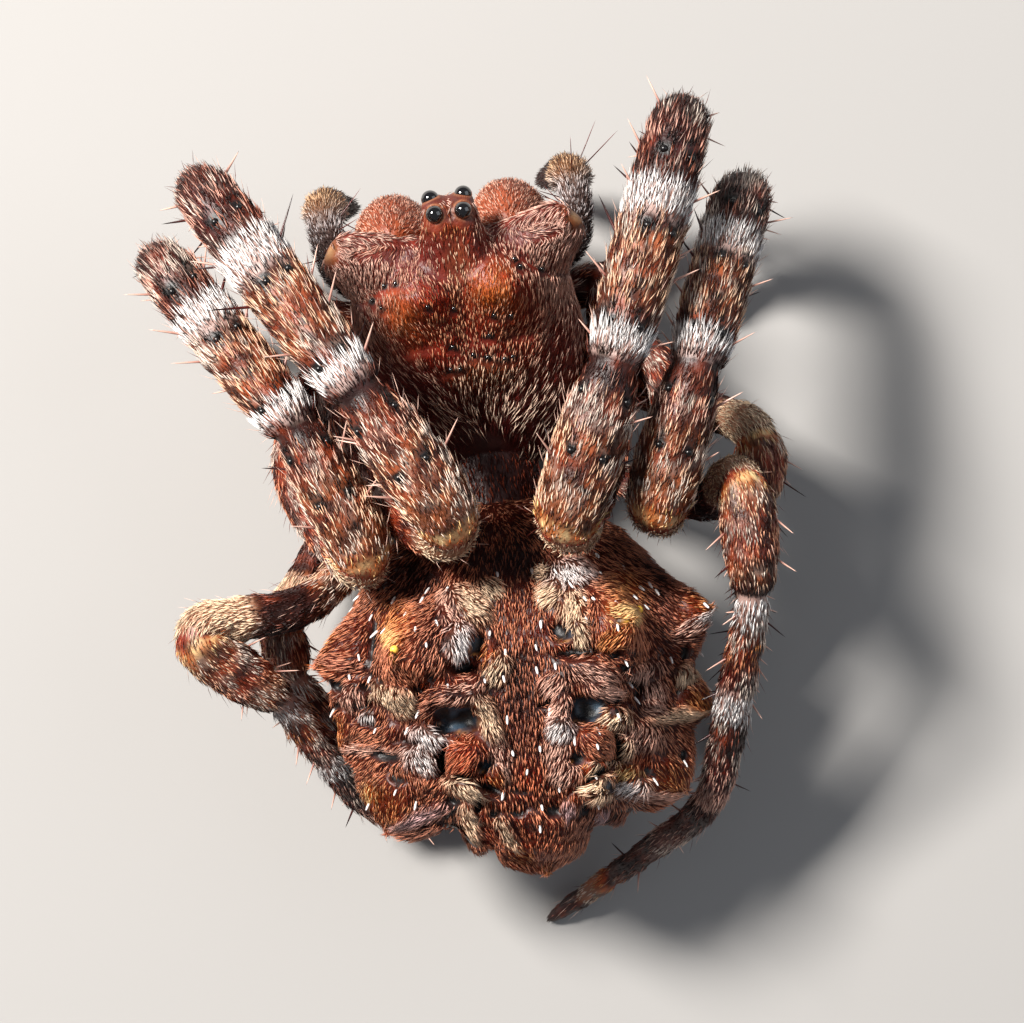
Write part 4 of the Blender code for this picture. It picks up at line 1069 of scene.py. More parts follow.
def carapace_marks(u, v, places):
    """Hair and skin colours of the carapace."""
    x, y, z = places.T
    cloud, speck = mottle(places, 0.4, 8), mottle(places, 0.14, 6)
    base = blend(alike(paint(136, 38, 20), len(x)), paint(78, 16, 11), step_up(-y, -2.6, 0.3))
    hair, pale, share = HEAD.colours(x, y, base, alike(PINKISH, len(x)), 0.4 + 0 * x)
    hair = hair * (0.6 + 0.7 * speck)[:, None]
    dark = np.zeros(len(x))
    for sx, sy in ROW_XY:
        dark = np.maximum(dark, patch(x, y, (sx, sy), (0.17, 0.08)) * (0.6 + speck))
    for sx, sy in SPOT_XY:
        dark = np.maximum(dark, patch(x, y, (sx, sy), (0.09, 0.09)) * 1.2)
    skin = blend(hair * 0.7, paint(112, 32, 20), 0.3 + 0.3 * cloud)
    humps = patch(x, y, (-1.22, 3.75), (0.42, 0.45)) + patch(x, y, (0.62, 4.02), (0.45, 0.42))
    warm = humps * step_up(mottle(places, 0.2, 71), 0.42, 0.06)
    skin, hair = blend(skin, paint(176, 78, 32), warm), blend(hair, paint(206, 110, 50), warm)
    share = share * (1 - 0.5 * humps)
    skin = blend(skin, BLACK, step_up(dark, 0.55, 0.08))
    # Painted shadow: a black patch on the rear slope by the waist, where the shield falls into deep shade;
    # hair is sparse there too.
    rear_shadow = patch(x, y, (0.1, 1.3), (0.75, 0.65))
    skin = blend(skin, BLACK, rear_shadow * 0.75)
    eye = np.min([np.linalg.norm(places - centre, axis=1) for centre in MAIN_EYES], axis=0)
    on_mound = patch(x, y, (0, 5.55), (0.6, 0.4)) * step_up(z, 4.55, 0.06)
    hair = blend(hair, paint(146, 66, 36), on_mound)
    skin = blend(skin, paint(88, 32, 18), on_mound * 0.9)
    skin = blend(skin, paint(220, 150, 104), np.exp(-((eye - 0.175) / 0.016) ** 2) * 0.4)
    horn = np.min([np.linalg.norm(places - tip, axis=1) for tip in both_sides(HORN_TIP)], axis=0)
    skin = blend(skin, paint(142, 78, 40), np.exp(-(horn / 0.36) ** 4))
    # Painted highlight: a pale spot on each horn tip.
    skin = blend(skin, paint(236, 190, 136), np.exp(-(horn / 0.15) ** 4) * (0.25 + 0.75 * speck))
    bare = np.maximum(rear_shadow * 0.8, np.maximum(step_up(dark, 0.5, 0.05), step_up(-horn, -0.2, 0.02)))
    bare = np.maximum(bare, step_up(-eye, -0.22, 0.01))
    rear = step_up(-y, -2.4, 0.25)
    flank = step_up(np.abs(x), 1.25, 0.15) * step_up(y, 3.3, 0.2)
    middle = patch(x, y, (0.0, 3.7), (1.5, 1.0))
    pale = blend(blend(pale, paint(238, 190, 172), flank), paint(252, 222, 196), rear)
    pale = blend(pale, paint(232, 150, 96), middle * 0.75)
    hair = blend(hair, paint(164, 92, 74), flank * 0.6)
    share = share * (0.55 + 0.9 * flank + 0.1 * rear) * (1 - rear_shadow)
    skin = skin * (0.55 + 0.45 * speck)[:, None]
    return {"skin": skin, "hair": hair * (1.1 + 0.5 * middle)[:, None], "pale": pale, "bare": bare,
            "share": np.clip(share, 0.03, 0.8), "length": 0.9 + 0.85 * rear + 0.2 * flank,
            "lift": 1 + 1.1 * rear, "width": 1 - 0.05 * rear}


def carapace_lie(places, normals, along, around):
    """Hair runs along the streams, and elsewhere in towards the middle line and back."""
    x, y, z = places.T
    rest = unit(np.stack([-x * 0.5, -0.9 + 0 * x, 0 * x - 0.2], 1))
    return HEAD.lie(x, y, rest)


def thin_behind(u, v, places, normals):
    """Full coat on the head, a sparse one on the rear slope and underneath."""
    x, y = places[:, 0], places[:, 1]
    cover = (1 - 0.45 * step_up(-y, -2.75, 0.15)) * (1 - 0.6 * step_up(-y, -2.1, 0.2))
    cover = cover * (1 - 0.5 * step_up(np.abs(x), 1.2, 0.15) * step_up(-y, -3.1, 0.2))
    return np.where(normals[:, 2] > -0.35, cover, 0.3)


dress("carapace", "", carapace_skin, carapace_centre, carapace_marks, carapace_lie, (220, 300), "cuticle",
      ("carapace",), count=26000, seed=2, length=0.215, width=0.0082, lift=0.3, wanted=thin_behind,
      root_shade=0.45)

# %% [markdown]
# Eyes look like beads of black glass, so they are smooth fine balls with a very glossy finish.
# The four main ones share the mound, and each horn carries two small ones. Smaller balls are
# the black beads in the dark spots of the shield and the yellow knobs on the shoulders.

# %% Eyes
SIDE_EYES = (np.array((1.93, 5.14, 3.97)), np.array((2.03, 4.98, 3.86)))
EYE_RADIUS = 0.16
SIDE_EYE_RADIUS = 0.12


def balls(name, centres, radius, replaces=(), material=None, colour=BLACK, rows=22, columns=28):
    """One or more smooth balls in one piece."""
    u, v, faces, _ = closed_grid(rows, columns)
    n = ball(u, v, "z")
    places = np.vstack([centre + n * radius for centre in centres])
    faces = np.vstack([faces + i * len(n) for i in range(len(centres))])
    if inside_out(places, faces):
        faces = faces[:, ::-1]
    put_piece(name, places, faces, alike(colour, len(places)), material or EYE, replaces=replaces)


for number, side in enumerate(("right", "left")):
    balls(f"rear_eye_{side}", [both_sides(REAR_EYE)[number]], EYE_RADIUS, (f"eye_rear_{side}",))
    balls(f"front_eye_{side}", [both_sides(FRONT_EYE)[number]], EYE_RADIUS, (f"eye_front_{side}",))
    pair = [both_sides(eye)[number] for eye in SIDE_EYES]
    balls(f"side_eyes_{side}", pair, SIDE_EYE_RADIUS, (f"eyes_side_{side}",))


def surface_under(surface, x, y, rows=420):
    """Parameters of the place of a surface over each point of the plan, found on a fine grid."""
    u, v = np.meshgrid(np.linspace(0.02, 0.98, rows), np.linspace(-0.25, 0.25, rows))
    u, v = u.ravel(), v.ravel()
    grid = surface(u, v)
    nearest = np.array([np.argmin((grid[:, 0] - a) ** 2 + (grid[:, 1] - b) ** 2) for a, b in zip(x, y)])
    return u[nearest], v[nearest]


BEAD_RADIUS, BEAD_RAISED = 0.045, 0.015
KNOB_RADIUS, KNOB_RAISED = 0.075, 0.03
KNOBS = np.array(((-2.01, -1.96), (2.29, -1.94)))
beads = np.vstack([SPOT_XY, ROW_XY])
bead_places = facing(carapace_skin, *surface_under(carapace_skin, *beads.T), carapace_centre)[0]
balls("black_beads", bead_places + (0, 0, BEAD_RAISED), BEAD_RADIUS, rows=8, columns=10)
knob_places = facing(abdomen_skin, *surface_under(abdomen_skin, *KNOBS.T), abdomen_centre)[0]
balls("shoulder_knobs", knob_places + (0, 0, KNOB_RAISED), KNOB_RADIUS, (), SOFT_SKIN, YELLOW,
      12, 16)
print("eyes, beads and knobs placed; knobs at", knob_places.round(2).tolist())

# %% [markdown]
# The jaws are two upright eggs that bulge in front of the face, thick with short orange hair.

# %% Jaws
JAW_MIDDLE = np.array((1.04, 5.2, 2.6))
JAW_HALF_SIZE = np.array((0.79, 0.72, 1.58))
JAW_BULGE = 0.22
JAW_COAT_DEPTH = 0.05
SIDES = (("right", 1), ("left", -1))


def jaw_surface(sign):
    """The skin of one jaw: an egg with a bulge in front of its upper half."""
    def surface(u, v):
        n = ball(u, v, "z")
        half = JAW_HALF_SIZE - JAW_COAT_DEPTH
        x = half[0] * n[:, 0] * (1 - 0.18 * np.clip(-n[:, 2], 0, 1))
        y = half[1] * n[:, 1] + JAW_BULGE * np.exp(-((n[:, 2] - 0.45) / 0.5) ** 2) * n[:, 1]
        return np.stack([x, y, half[2] * n[:, 2]], 1) + JAW_MIDDLE * (sign, 1, 1)
    return surface


def jaw_marks(u, v, places):
    """Orange with a pinkish bloom, darker below."""
    z = places[:, 2]
    hair = blend(alike(paint(200, 96, 52), len(z)), DARK_RUST, step_up(-z, -1.9, 0.35) * 0.8)
    hair = blend(hair, RUST, mottle(places, 0.3) * 0.9)
    pale = alike(paint(236, 176, 150), len(z))
    return {"skin": hair * 0.55, "hair": hair, "pale": pale, "share": 0.4 + 0 * z}


def downward(places, normals, along, around):
    """Hair points down and a little forward."""
    return alike((0.0, 0.35, -1.0), len(places))


for number, (side, sign) in enumerate(SIDES):
    centre = JAW_MIDDLE * (sign, 1, 1)

    def jaw_centre(u, centre=centre):
        return centre[None] + np.stack([0 * u, 0 * u, 0.9 * np.cos(math.pi * u)], 1)

    dress("jaw", f"_{side}", jaw_surface(sign), jaw_centre, jaw_marks, downward, (70, 72), "jaws",
          (f"chelicera_{side}",), count=7000, seed=10 + number, length=0.13, width=0.0085, lift=0.75)

# %% [markdown]
# A limb is a line with a thickness. The line is the same as in the solids: straight stretches
# whose corners are turned into parabolas. A frame of two directions across it is carried along
# without twisting, so that v = 0 stays on the back of the leg from hip to claw.

# %% Limb lines
class Limb:
    """A limb's line, its thickness, and its joints, ready to be read as a surface."""

    def __init__(self, corners, reaches, radii_between_joints, joint_corners, stoutness=1.0, inset=0.0):
        corners = [np.array(c, float) for c in corners]
        line, bends = [corners[0]], []
        for before, corner, after, reach in zip(corners, corners[1:], corners[2:], reaches):
            into, out = before - corner, after - corner
            reach = min(reach, 0.48 * np.linalg.norm(into), 0.48 * np.linalg.norm(out))
            start = corner + into / np.linalg.norm(into) * reach
            end = corner + out / np.linalg.norm(out) * reach
            t = np.linspace(0, 1, 21)[:, None]
            line.extend((1 - t) ** 2 * start + 2 * t * (1 - t) * corner + t ** 2 * end)
            bends.append(len(line) - 11)
        line.append(corners[-1])
        line = np.array(line)
        run = np.concatenate([[0], np.cumsum(np.linalg.norm(np.diff(line, axis=0), axis=1))])
        self.length = run[-1]
        self.joints = np.array([0, *(run[bends[i]] for i in joint_corners), self.length])
        self.stations = np.linspace(0, self.length, 260)
        self.line = np.stack([np.interp(self.stations, run, line[:, k]) for k in range(3)], 1)
        self.ahead = unit(np.gradient(self.line, axis=0))
        up = np.array((0, 0, 1))
        back = [unit((up - np.dot(up, self.ahead[0]) * self.ahead[0])[None])[0]]
        for ahead in self.ahead[1:]:
            back.append(unit((back[-1] - np.dot(back[-1], ahead) * ahead)[None])[0])
        self.back = np.array(back)
        self.side = np.cross(self.ahead, self.back)
        self.upward = np.unwrap(np.arctan2(self.side[:, 2], self.back[:, 2]))
        segment, share = self.segment(self.stations)
        radius = np.zeros(len(self.stations))
        for index, radii in enumerate(radii_between_joints):
            here = segment == index
            radius[here] = np.interp(share[here], np.linspace(0, 1, len(radii)), radii)
        soft = np.exp(-np.linspace(-2, 2, 9) ** 2)
        padded = np.pad(radius, 4, mode="edge")
        radius = np.convolve(padded, soft / soft.sum(), mode="valid") * stoutness
        for joint in self.joints[1:-1]:
            radius -= 0.05 * np.exp(-((self.stations - joint) / 0.1) ** 2) * stoutness
        rounding = np.sqrt(np.clip(1 - (1 - np.clip(self.stations / 0.25, 0, 1)) ** 2, 0, 1))
        to_tip = np.clip((self.length - self.stations) / 0.12, 0, 1)
        self.radius = (radius - inset) * rounding * np.sqrt(1 - (1 - to_tip) ** 2)

    def segment(self, run):
        """Which segment each distance along the limb is in, and how far through it."""
        index = np.clip(np.searchsorted(self.joints, run, side="right") - 1, 0, len(self.joints) - 2)
        start, end = self.joints[index], self.joints[index + 1]
        return index, (run - start) / (end - start)

    def read(self, table, u):
        """A table along the limb, read at u."""
        run = u * self.length
        if table.ndim == 1:
            return np.interp(run, self.stations, table)
        return np.stack([np.interp(run, self.stations, table[:, k]) for k in range(table.shape[1])], 1)

    def across(self, u, turn):
        """The ways out of the line at some angles from the limb's back."""
        back, side = self.read(self.back, u), self.read(self.side, u)
        return back * np.cos(turn)[:, None] + side * np.sin(turn)[:, None]

    def surface(self, u, v):
        """A ring round the line at each u, its angle v measured from the limb's back."""
        turn = 2 * math.pi * v
        radius = self.read(self.radius, u) * (1 + 0.03 * np.cos(2 * turn))
        out = self.across(u, turn)
        places = self.read(self.line, u) + out * radius[:, None]
        places = places + out * ((mottle(places, 0.22, 11) - 0.5) * 0.05)[:, None]
        places[:, 2] = np.maximum(places[:, 2], FLOOR + 0.004)
        return places

    def centre(self, u):
        """The line itself."""
        return self.read(self.line, u)

    def lie(self, places, normals, along, around):
        """Hair runs towards the claw."""
        return along


SEGMENT_RADII = {
    "coxa": (0.33, 0.38, 0.4),
    "femur": (0.4, 0.46, 0.5, 0.52, 0.54, 0.56),
    "patella": (0.58, 0.62, 0.64, 0.62, 0.56, 0.46),
    "tibia": (0.46, 0.56, 0.58, 0.58, 0.56, 0.5),
    "metatarsus": (0.4, 0.37, 0.35, 0.33, 0.31, 0.3),
    "tarsus": (0.3, 0.3, 0.28, 0.26, 0.22, 0.12),
}
SEGMENTS = ("femur", "patella", "tibia", "metatarsus", "tarsus")
STOUTNESS = {1: 1.0, 2: 0.95, 3: 0.72, 4: 0.8}
HIND_TIBIA_SHARE = 0.72
HIPS = {
    1: ((0.95, 3.75, 1.15), (2.72, 4.12, 1.75)), 2: ((1.05, 3.0, 1.15), (3.05, 2.95, 1.6)),
    3: ((1.0, 2.25, 1.15), (2.6, 2.05, 1.3)), 4: ((0.8, 1.55, 1.15), (2.2, 0.5, 1.5)),
}
# Knee, end of the patella, end of the tibia, end of the metatarsus and claw, after the femur's bow
POSE = {
    ("right", 1): ((2.15, 0.95, 3.57), (0.98, -0.7, 5.6), (2.37, 2.26, 6.35),
                   (4.4, 6.84, 5.1), (3.78, 5.17, 1.2), (3.38, 4.0, 0.1)),
    ("left", 1): ((-2.13, 0.9, 3.57), (-0.42, -0.45, 5.65), (-1.91, 2.42, 6.35),
                  (-4.39, 6.78, 5.1), (-3.7, 5.38, 1.2), (-3.39, 4.13, 0.1)),
    ("right", 2): ((3.75, 1.3, 3.02), (2.56, -0.77, 5.0), (3.8, 2.08, 5.75),
                   (5.37, 5.47, 3.76), (5.0, 4.14, 1.05), (4.6, 3.06, 0.1)),
    ("left", 2): ((-3.57, 1.25, 2.68), (-2.07, -0.9, 4.74), (-3.12, 2.03, 5.15),
                  (-5.35, 5.67, 4.4), (-4.75, 4.45, 1.1), (-4.2, 3.55, 0.1)),
    ("right", 3): ((4.1, 1.5, 1.9), (4.93, 0.92, 3.35), (4.86, -0.3, 3.05),
                   (4.36, -2.35, 1.9), (3.94, -4.0, 0.75), (3.5, -5.1, 0.1)),
    ("left", 3): ((-3.1, 0.1, 1.15), (-4.2, -1.35, 2.05), (-4.07, -2.3, 2.0),
                  (-3.2, -3.95, 0.95), (-2.1, -4.4, 0.45), (-1.3, -4.1, 0.1)),
    ("right", 4): ((3.95, -0.35, 2.9), (4.42, 0.36, 5.0), (4.32, -1.9, 4.9),
                   (3.2, -5.7, 2.5), (1.22, -6.92, 0.75), (-0.1, -7.65, 0.1)),
    ("left", 4): ((-3.35, -1.1, 2.45), (-5.95, -1.1, 4.2), (-4.25, -2.62, 3.3),
                  (-2.95, -5.2, 1.0), (-0.5, -5.5, 0.5), (0.8, -5.4, 0.1)),
}
CORNER_REACH = (0.45, 1.2, 1.55, 0.5, 1.1, 0.35)
HIND_REACH_SHARE = 0.8
LEG_COAT_DEPTH = 0.03
LEGS = {}
for (side, pair), pose in POSE.items():
    sign = 1 if side == "right" else -1
    hips = [(sign * x, y, z) for x, y, z in HIPS[pair]]
    reaches = [reach * (HIND_REACH_SHARE if pair > 2 else 1.0) for reach in CORNER_REACH]
    radii = [SEGMENT_RADII["coxa"] + SEGMENT_RADII["femur"], *(SEGMENT_RADII[name] for name in SEGMENTS[1:])]
    if pair > 2:
        radii[2] = [radius * HIND_TIBIA_SHARE for radius in radii[2]]
    LEGS[side, pair] = Limb([*hips, *pose], reaches, radii, (2, 3, 4, 5), STOUTNESS[pair], LEG_COAT_DEPTH)
    print(side, pair, "length", round(LEGS[side, pair].length, 2), "mm")

# %% [markdown]
# The legs wear bands. On the front two pairs the stretch past the knee is mottled chestnut,
# tan and cream with pairs of black spots, then comes a snow-white ring, an orange-brown
# stretch, a second white ring and a dark end. The colours run from stop to stop along each
# segment. Their edges are ragged, and tufts of darker and paler hair break them up. The
# underside is painted darker, with fewer pale hairs, as shade. Beyond each knee a waxy patch
# of bare skin shows.

# %% Leg markings
# Stops along each segment: share of its length, kind of coat, share of pale hair
FRONT_STOPS = {
    "femur": ((0, "rust", 0.35), (0.9, "rust", 0.4), (0.94, "cream", 0.85), (1, "cream", 0.85)),
    "patella": ((0, "fire", 0.05), (0.03, "fire", 0.05), (0.04, "amber", 0.5), (0.1, "amber", 0.5),
                (0.12, "maroon", 0.3), (0.14, "tan", 0.6), (0.28, "tan", 0.6), (0.42, "chestnut", 0.5),
                (0.56, "tan", 0.55), (0.72, "pink", 0.6), (0.83, "chestnut", 0.4), (0.92, "umber", 0.1),
                (1, "umber", 0.1)),
    "tibia": ((0, "umber", 0.1), (0.03, "umber", 0.2), (0.04, "white", 0.97), (0.115, "white", 0.97),
              (0.13, "umber", 0.2), (0.145, "umber", 0.25), (0.17, "chestnut", 0.45), (0.26, "tan", 0.55),
              (0.36, "chestnut", 0.4), (0.44, "tan", 0.6), (0.52, "chestnut", 0.5), (0.54, "white", 0.85),
              (0.66, "white", 0.95), (0.675, "umber", 0.3), (0.76, "dark rust", 0.45), (0.86, "maroon", 0.6),
              (0.95, "umber", 0.4), (1, "umber", 0.2)),
    "metatarsus": ((0, "pink", 0.7), (0.15, "pink", 0.6), (0.25, "umber", 0.2), (0.5, "umber", 0.2),
                   (0.6, "pink", 0.6), (0.8, "umber", 0.2), (1, "umber", 0.2)),
    "tarsus": ((0, "orange", 0.3), (0.35, "orange", 0.4), (0.6, "umber", 0.2), (1, "umber", 0.1)),
}
REAR_STOPS = {
    "femur": ((0, "rust", 0.35), (0.4, "rust", 0.5), (0.5, "tan", 0.6), (0.58, "tan", 0.6),
              (0.62, "umber", 0.1), (0.8, "umber", 0.1), (0.83, "cream", 0.85), (1, "cream", 0.95)),
    "patella": ((0, "fire", 0.1), (0.04, "fire", 0.1), (0.06, "amber", 0.6), (0.16, "tan", 0.7),
                (0.3, "chestnut", 0.6), (0.6, "rust", 0.55), (0.85, "tan", 0.7), (0.93, "umber", 0.2),
                (1, "umber", 0.2)),
    "tibia": ((0, "white", 0.8), (0.13, "white", 0.7), (0.17, "orange", 0.4), (0.28, "rust", 0.5),
              (0.4, "maroon", 0.5), (0.45, "white", 0.85), (0.54, "white", 0.8), (0.58, "umber", 0.4),
              (0.72, "umber", 0.35), (0.8, "maroon", 0.6), (0.9, "maroon", 0.6), (0.93, "pink", 0.9),
              (1, "pink", 0.9)),
    "metatarsus": ((0, "umber", 0.3), (0.2, "umber", 0.3), (0.3, "pink", 0.7), (0.45, "pink", 0.7),
                   (0.55, "umber", 0.2), (0.85, "umber", 0.2), (1, "orange", 0.5)),
    "tarsus": ((0, "orange", 0.5), (0.3, "amber", 0.5), (0.5, "umber", 0.2), (1, "umber", 0.1)),
}
# Black spots on the front legs: share along the segment, angle from the back, radius
SPOTS = {
    "patella": ((0.3, 0.2, 0.05), (0.5, 0.5, 0.09), (0.5, -0.5, 0.09), (0.85, 0.9, 0.1), (0.85, -0.9, 0.09)),
    "tibia": ((0.14, -0.6, 0.1), (0.14, 0.55, 0.1), (0.3, 0.0, 0.05), (0.5, -0.15, 0.12), (0.5, 0.75, 0.09),
              (0.79, -0.3, 0.12), (0.79, 0.7, 0.11)),
}
# Length of the hair on each segment, from femur to tarsus, as a share of the leg's
HAIR_LENGTHS = np.array([0.9, 0.85, 1.1, 0.8, 0.55])
LEG_HAIRS = {1: 17000, 2: 15000, 3: 8000, 4: 12000}
FRONT_HAIR, REAR_HAIR = 0.28, 0.24


def read_stops(stops, share):
    """Hair colour, pale hair colour and share of pale hair along one segment."""
    at = [stop[0] for stop in stops]
    rows = np.array([[*COATS[kind][0], *COATS[kind][1], pale_share] for _, kind, pale_share in stops])
    found = np.stack([np.interp(share, at, rows[:, k]) for k in range(7)], 1)
    return found[:, :3], found[:, 3:6], found[:, 6]


def leg_marks_of(limb, pair):
    """The markings of one leg, as a function."""
    table = FRONT_STOPS if pair < 3 else REAR_STOPS

    def marks(u, v, places):
        run = u * limb.length
        index, share_along = limb.segment(run)
        turn = (2 * math.pi * v - limb.read(limb.upward, u) + math.pi) % (2 * math.pi) - math.pi
        above = 0.5 + 0.5 * np.cos(turn)
        cloud, speck = mottle(places, 0.34, 13), mottle(places, 0.1, 17)
        hair, pale, share = np.zeros((len(u), 3)), np.zeros((len(u), 3)), np.zeros(len(u))
        spot, bare = np.zeros(len(u)), np.zeros(len(u))
        for number, segment in enumerate(SEGMENTS):
            here = index == number
            span = limb.joints[number + 1] - limb.joints[number]
            ragged = share_along[here] + ((speck[here] - 0.5) * 0.1 + (cloud[here] - 0.5) * 0.12) / span
            hair[here], pale[here], share[here] = read_stops(table[segment], ragged)
            if segment == "patella":
                knee = step_up(share_along, 0.045, 0.006) * step_up(-share_along, -0.1, 0.01) * above
                bare = np.maximum(bare, here * knee)
            for middle, angle, radius in SPOTS.get(segment, ()) if pair < 3 else ():
                off_along = (share_along - middle) * span
                off_around = (turn - angle) * 0.5
                off = (off_along ** 2 + off_around ** 2) / (1.5 * radius) ** 2
                spot = np.maximum(spot, here * np.exp(-off ** 3))
        white = step_up(share, 0.74, 0.03)
        light = step_up(mottle(places, 0.22, 19), 0.6, 0.03) * (1 - white) * step_up(share, 0.3, 0.04)
        warm = step_up(mottle(places, 0.26, 43), 0.6, 0.03) * (1 - white) * (1 - light)
        dark = step_up(mottle(places, 0.17, 57), 0.58, 0.03) * (1 - 0.7 * white)
        share = share * 0.8 + (0.9 - share) * light * 0.8
        around = np.stack([run * 0.4, 0.5 * np.cos(turn), 0.5 * np.sin(turn)], 1)
        tuft = step_up(mottle(around, 0.085, 91), 0.5, 0.06)
        share = share * (0.5 + 0.85 * np.maximum(tuft, white))
        hair = blend(hair, COATS["orange"][0], warm * 0.3)
        pale = blend(pale, paint(250, 230, 214) * (1 - 0.3 * step_up(cloud, 0.5, 0.1))[:, None], light)
        hair, share = blend(hair, COATS["umber"][0], dark * 0.85), share * (1 - 0.7 * dark)
        # Painted shade: the underside of each leg is darkened, with fewer pale hairs.
        below = (1 - above) ** 2
        hair = blend(hair, DARK_BROWN, below * 0.5) * (0.62 + 0.7 * np.maximum(tuft, white))[:, None]
        share = np.clip(share * (1 - 0.4 * below), 0.05, 0.97) * (1 - spot) ** 3
        # Skin is painted darker than its hair, as shade in the gaps between hairs.
        skin = blend(blend(hair * 0.65, pale * 0.6, white * 0.3 + light * 0.2), BLACK, spot * 1.2)
        waxy = blend(alike(paint(176, 110, 62), len(u)), paint(244, 214, 156), speck * 2 - 0.5)
        bare = bare * step_up(mottle(places, 0.3, 83), 0.36, 0.05)
        skin = blend(skin, waxy, bare)
        bare = np.maximum(bare * (0.15 + speck), (spot > 0.97) * 1.0)
        return {"skin": skin, "hair": blend(hair, BLACK * 0.5, spot * 2), "pale": pale, "share": share,
                "length": HAIR_LENGTHS[index], "bare": bare}
    return marks


for number, ((side, pair), limb) in enumerate(LEGS.items()):
    nodes = [f"{segment}_{side}_{pair}" for segment in SEGMENTS]
    dress("leg", f"_{side}_{pair}", limb.surface, limb.centre, leg_marks_of(limb, pair), limb.lie, (260, 36),
          "legs", nodes, count=LEG_HAIRS[pair], seed=20 + number,
          length=FRONT_HAIR if pair < 3 else REAR_HAIR, width=0.0105, lift=0.28, root_shade=0.1)

# %% [markdown]
# Leg spines stand out from the coat: stiff, pinkish or black, dark at the root, each leaning
# towards the claw. They are six-sided tapering spikes in pairs along the segments, and long
# thin feeler hairs stand between them. The larger black spots hold a bead.

# %% Spines and feeler hairs
SPINE_PLACES = {
    "patella": (0.4, 0.75),
    "tibia": (0.12, 0.3, 0.48, 0.66, 0.82, 0.95),
    "metatarsus": (0.25, 0.5, 0.8),
}
# Angles from straight up, round the leg
SPINE_ANGLES = (1.45, -1.45, 2.3, -2.3)
SPINE_WIDTH = 0.029
SPINE_SIDES = 6
# Rings of a spike: share of its length, and of its width for an ordinary spine
SPIKE_RINGS = (0.0, 0.12, 0.55, 0.85)
SPINE_TAPERS = (1, 0.85, 0.6, 0.3)
FEELERS = {1: 420, 2: 400, 3: 180, 4: 300}
FEELER_LENGTH = 0.46


def spikes(name, roots, directions, length, width, root_colours, tip_colours, bend=0.12,
           tapers=SPINE_TAPERS):
    """Six-sided spikes in one piece, tapering and slightly bent."""
    number = len(roots)
    helper = np.where(np.abs(directions[:, 2:]) < 0.9, (0.0, 0.0, 1.0), (1.0, 0.0, 0.0))
    across = unit(np.cross(directions, helper))
    over = np.cross(directions, across)
    turn = 2 * math.pi * np.arange(SPINE_SIDES) / SPINE_SIDES
    out = across[:, None] * np.cos(turn)[None, :, None] + over[:, None] * np.sin(turn)[None, :, None]

    def on_axis(share):
        return roots + directions * (length * share)[:, None] - over * (bend * length * share ** 2)[:, None]

    rings = [on_axis(share)[:, None] + out * (width * taper)[:, None, None]
             for share, taper in zip(SPIKE_RINGS, tapers)]
    places = np.concatenate([*rings, roots[:, None], on_axis(1)[:, None]], axis=1)
    faces, k = [], SPINE_SIDES
    for side in range(k):
        after = (side + 1) % k
        faces.append((4 * k, after, side))
        for ring in range(3):
            a, b = ring * k + side, ring * k + after
            faces += [(a, b, b + k), (a, b + k, a + k)]
        faces.append((3 * k + side, 3 * k + after, 4 * k + 1))
    faces = np.array(faces)
    shade = np.concatenate([np.repeat((0.0, 0.2, 0.7, 0.95), k), (0.0, 1.0)])[None, :, None]
    tints = root_colours[:, None] * (1 - shade) + tip_colours[:, None] * shade
    per = places.shape[1]
    joined = (faces[None] + per * np.arange(number)[:, None, None]).reshape(-1, 3)
    flat = places.reshape(-1, 3)
    if inside_out(flat, joined):
        joined = joined[:, ::-1]
    put_piece(name, flat, joined, tints.reshape(-1, 3), SPINE)
    print(name, number, "spikes")


def leg_spikes(limb, pair, seed):
    """Places and directions of one leg's spines."""
    draw = np.random.default_rng(seed)
    roots, directions, lengths = [], [], []
    for number, segment in enumerate(SEGMENTS):
        for share in SPINE_PLACES.get(segment, ()):
            for angle in SPINE_ANGLES:
                span = np.diff(limb.joints)[number]
                run = limb.joints[number] + (share + draw.uniform(-0.05, 0.05)) * span
                u = np.array([run / limb.length])
                turn = angle + draw.uniform(-0.3, 0.3) + limb.read(limb.upward, u)
                out = limb.across(u, turn)[0]
                root = limb.centre(u)[0] + out * (limb.read(limb.radius, u)[0] - 0.03)
                lean = draw.uniform(0.45, 0.9)
                ahead = limb.read(limb.ahead, u)[0]
                heading = out * math.cos(lean) + ahead * math.sin(lean)
                if root[2] + heading[2] * 0.8 < FLOOR + 0.1 or draw.random() < 0.3:
                    continue
                roots.append(root)
                directions.append(heading)
                lengths.append(draw.uniform(0.38, 0.68) * STOUTNESS[pair])
    return np.array(roots), unit(np.array(directions)), np.array(lengths)


# The larger black spots on the legs have a bead in them, sunk by a share of the leg's radius
SPOT_BEAD_RADIUS = 0.075
SMALLEST_BEADED = 0.06
SUNK = 0.03
for (side, pair), limb in LEGS.items():
    if pair > 2:
        continue
    spans = dict(zip(SEGMENTS, zip(limb.joints, np.diff(limb.joints))))
    at = [(spans[segment][0] + share * spans[segment][1], angle)
          for segment, rows in SPOTS.items() for share, angle, radius in rows if radius > SMALLEST_BEADED]
    run, angle = np.array(at).T
    u = run / limb.length
    turn = angle + limb.read(limb.upward, u)
    places = limb.surface(u, turn / (2 * math.pi)) * (1 - SUNK) + limb.centre(u) * SUNK
    balls(f"leg_spots_{side}_{pair}", places, SPOT_BEAD_RADIUS, (), SPINE, BLACK, 8, 10)

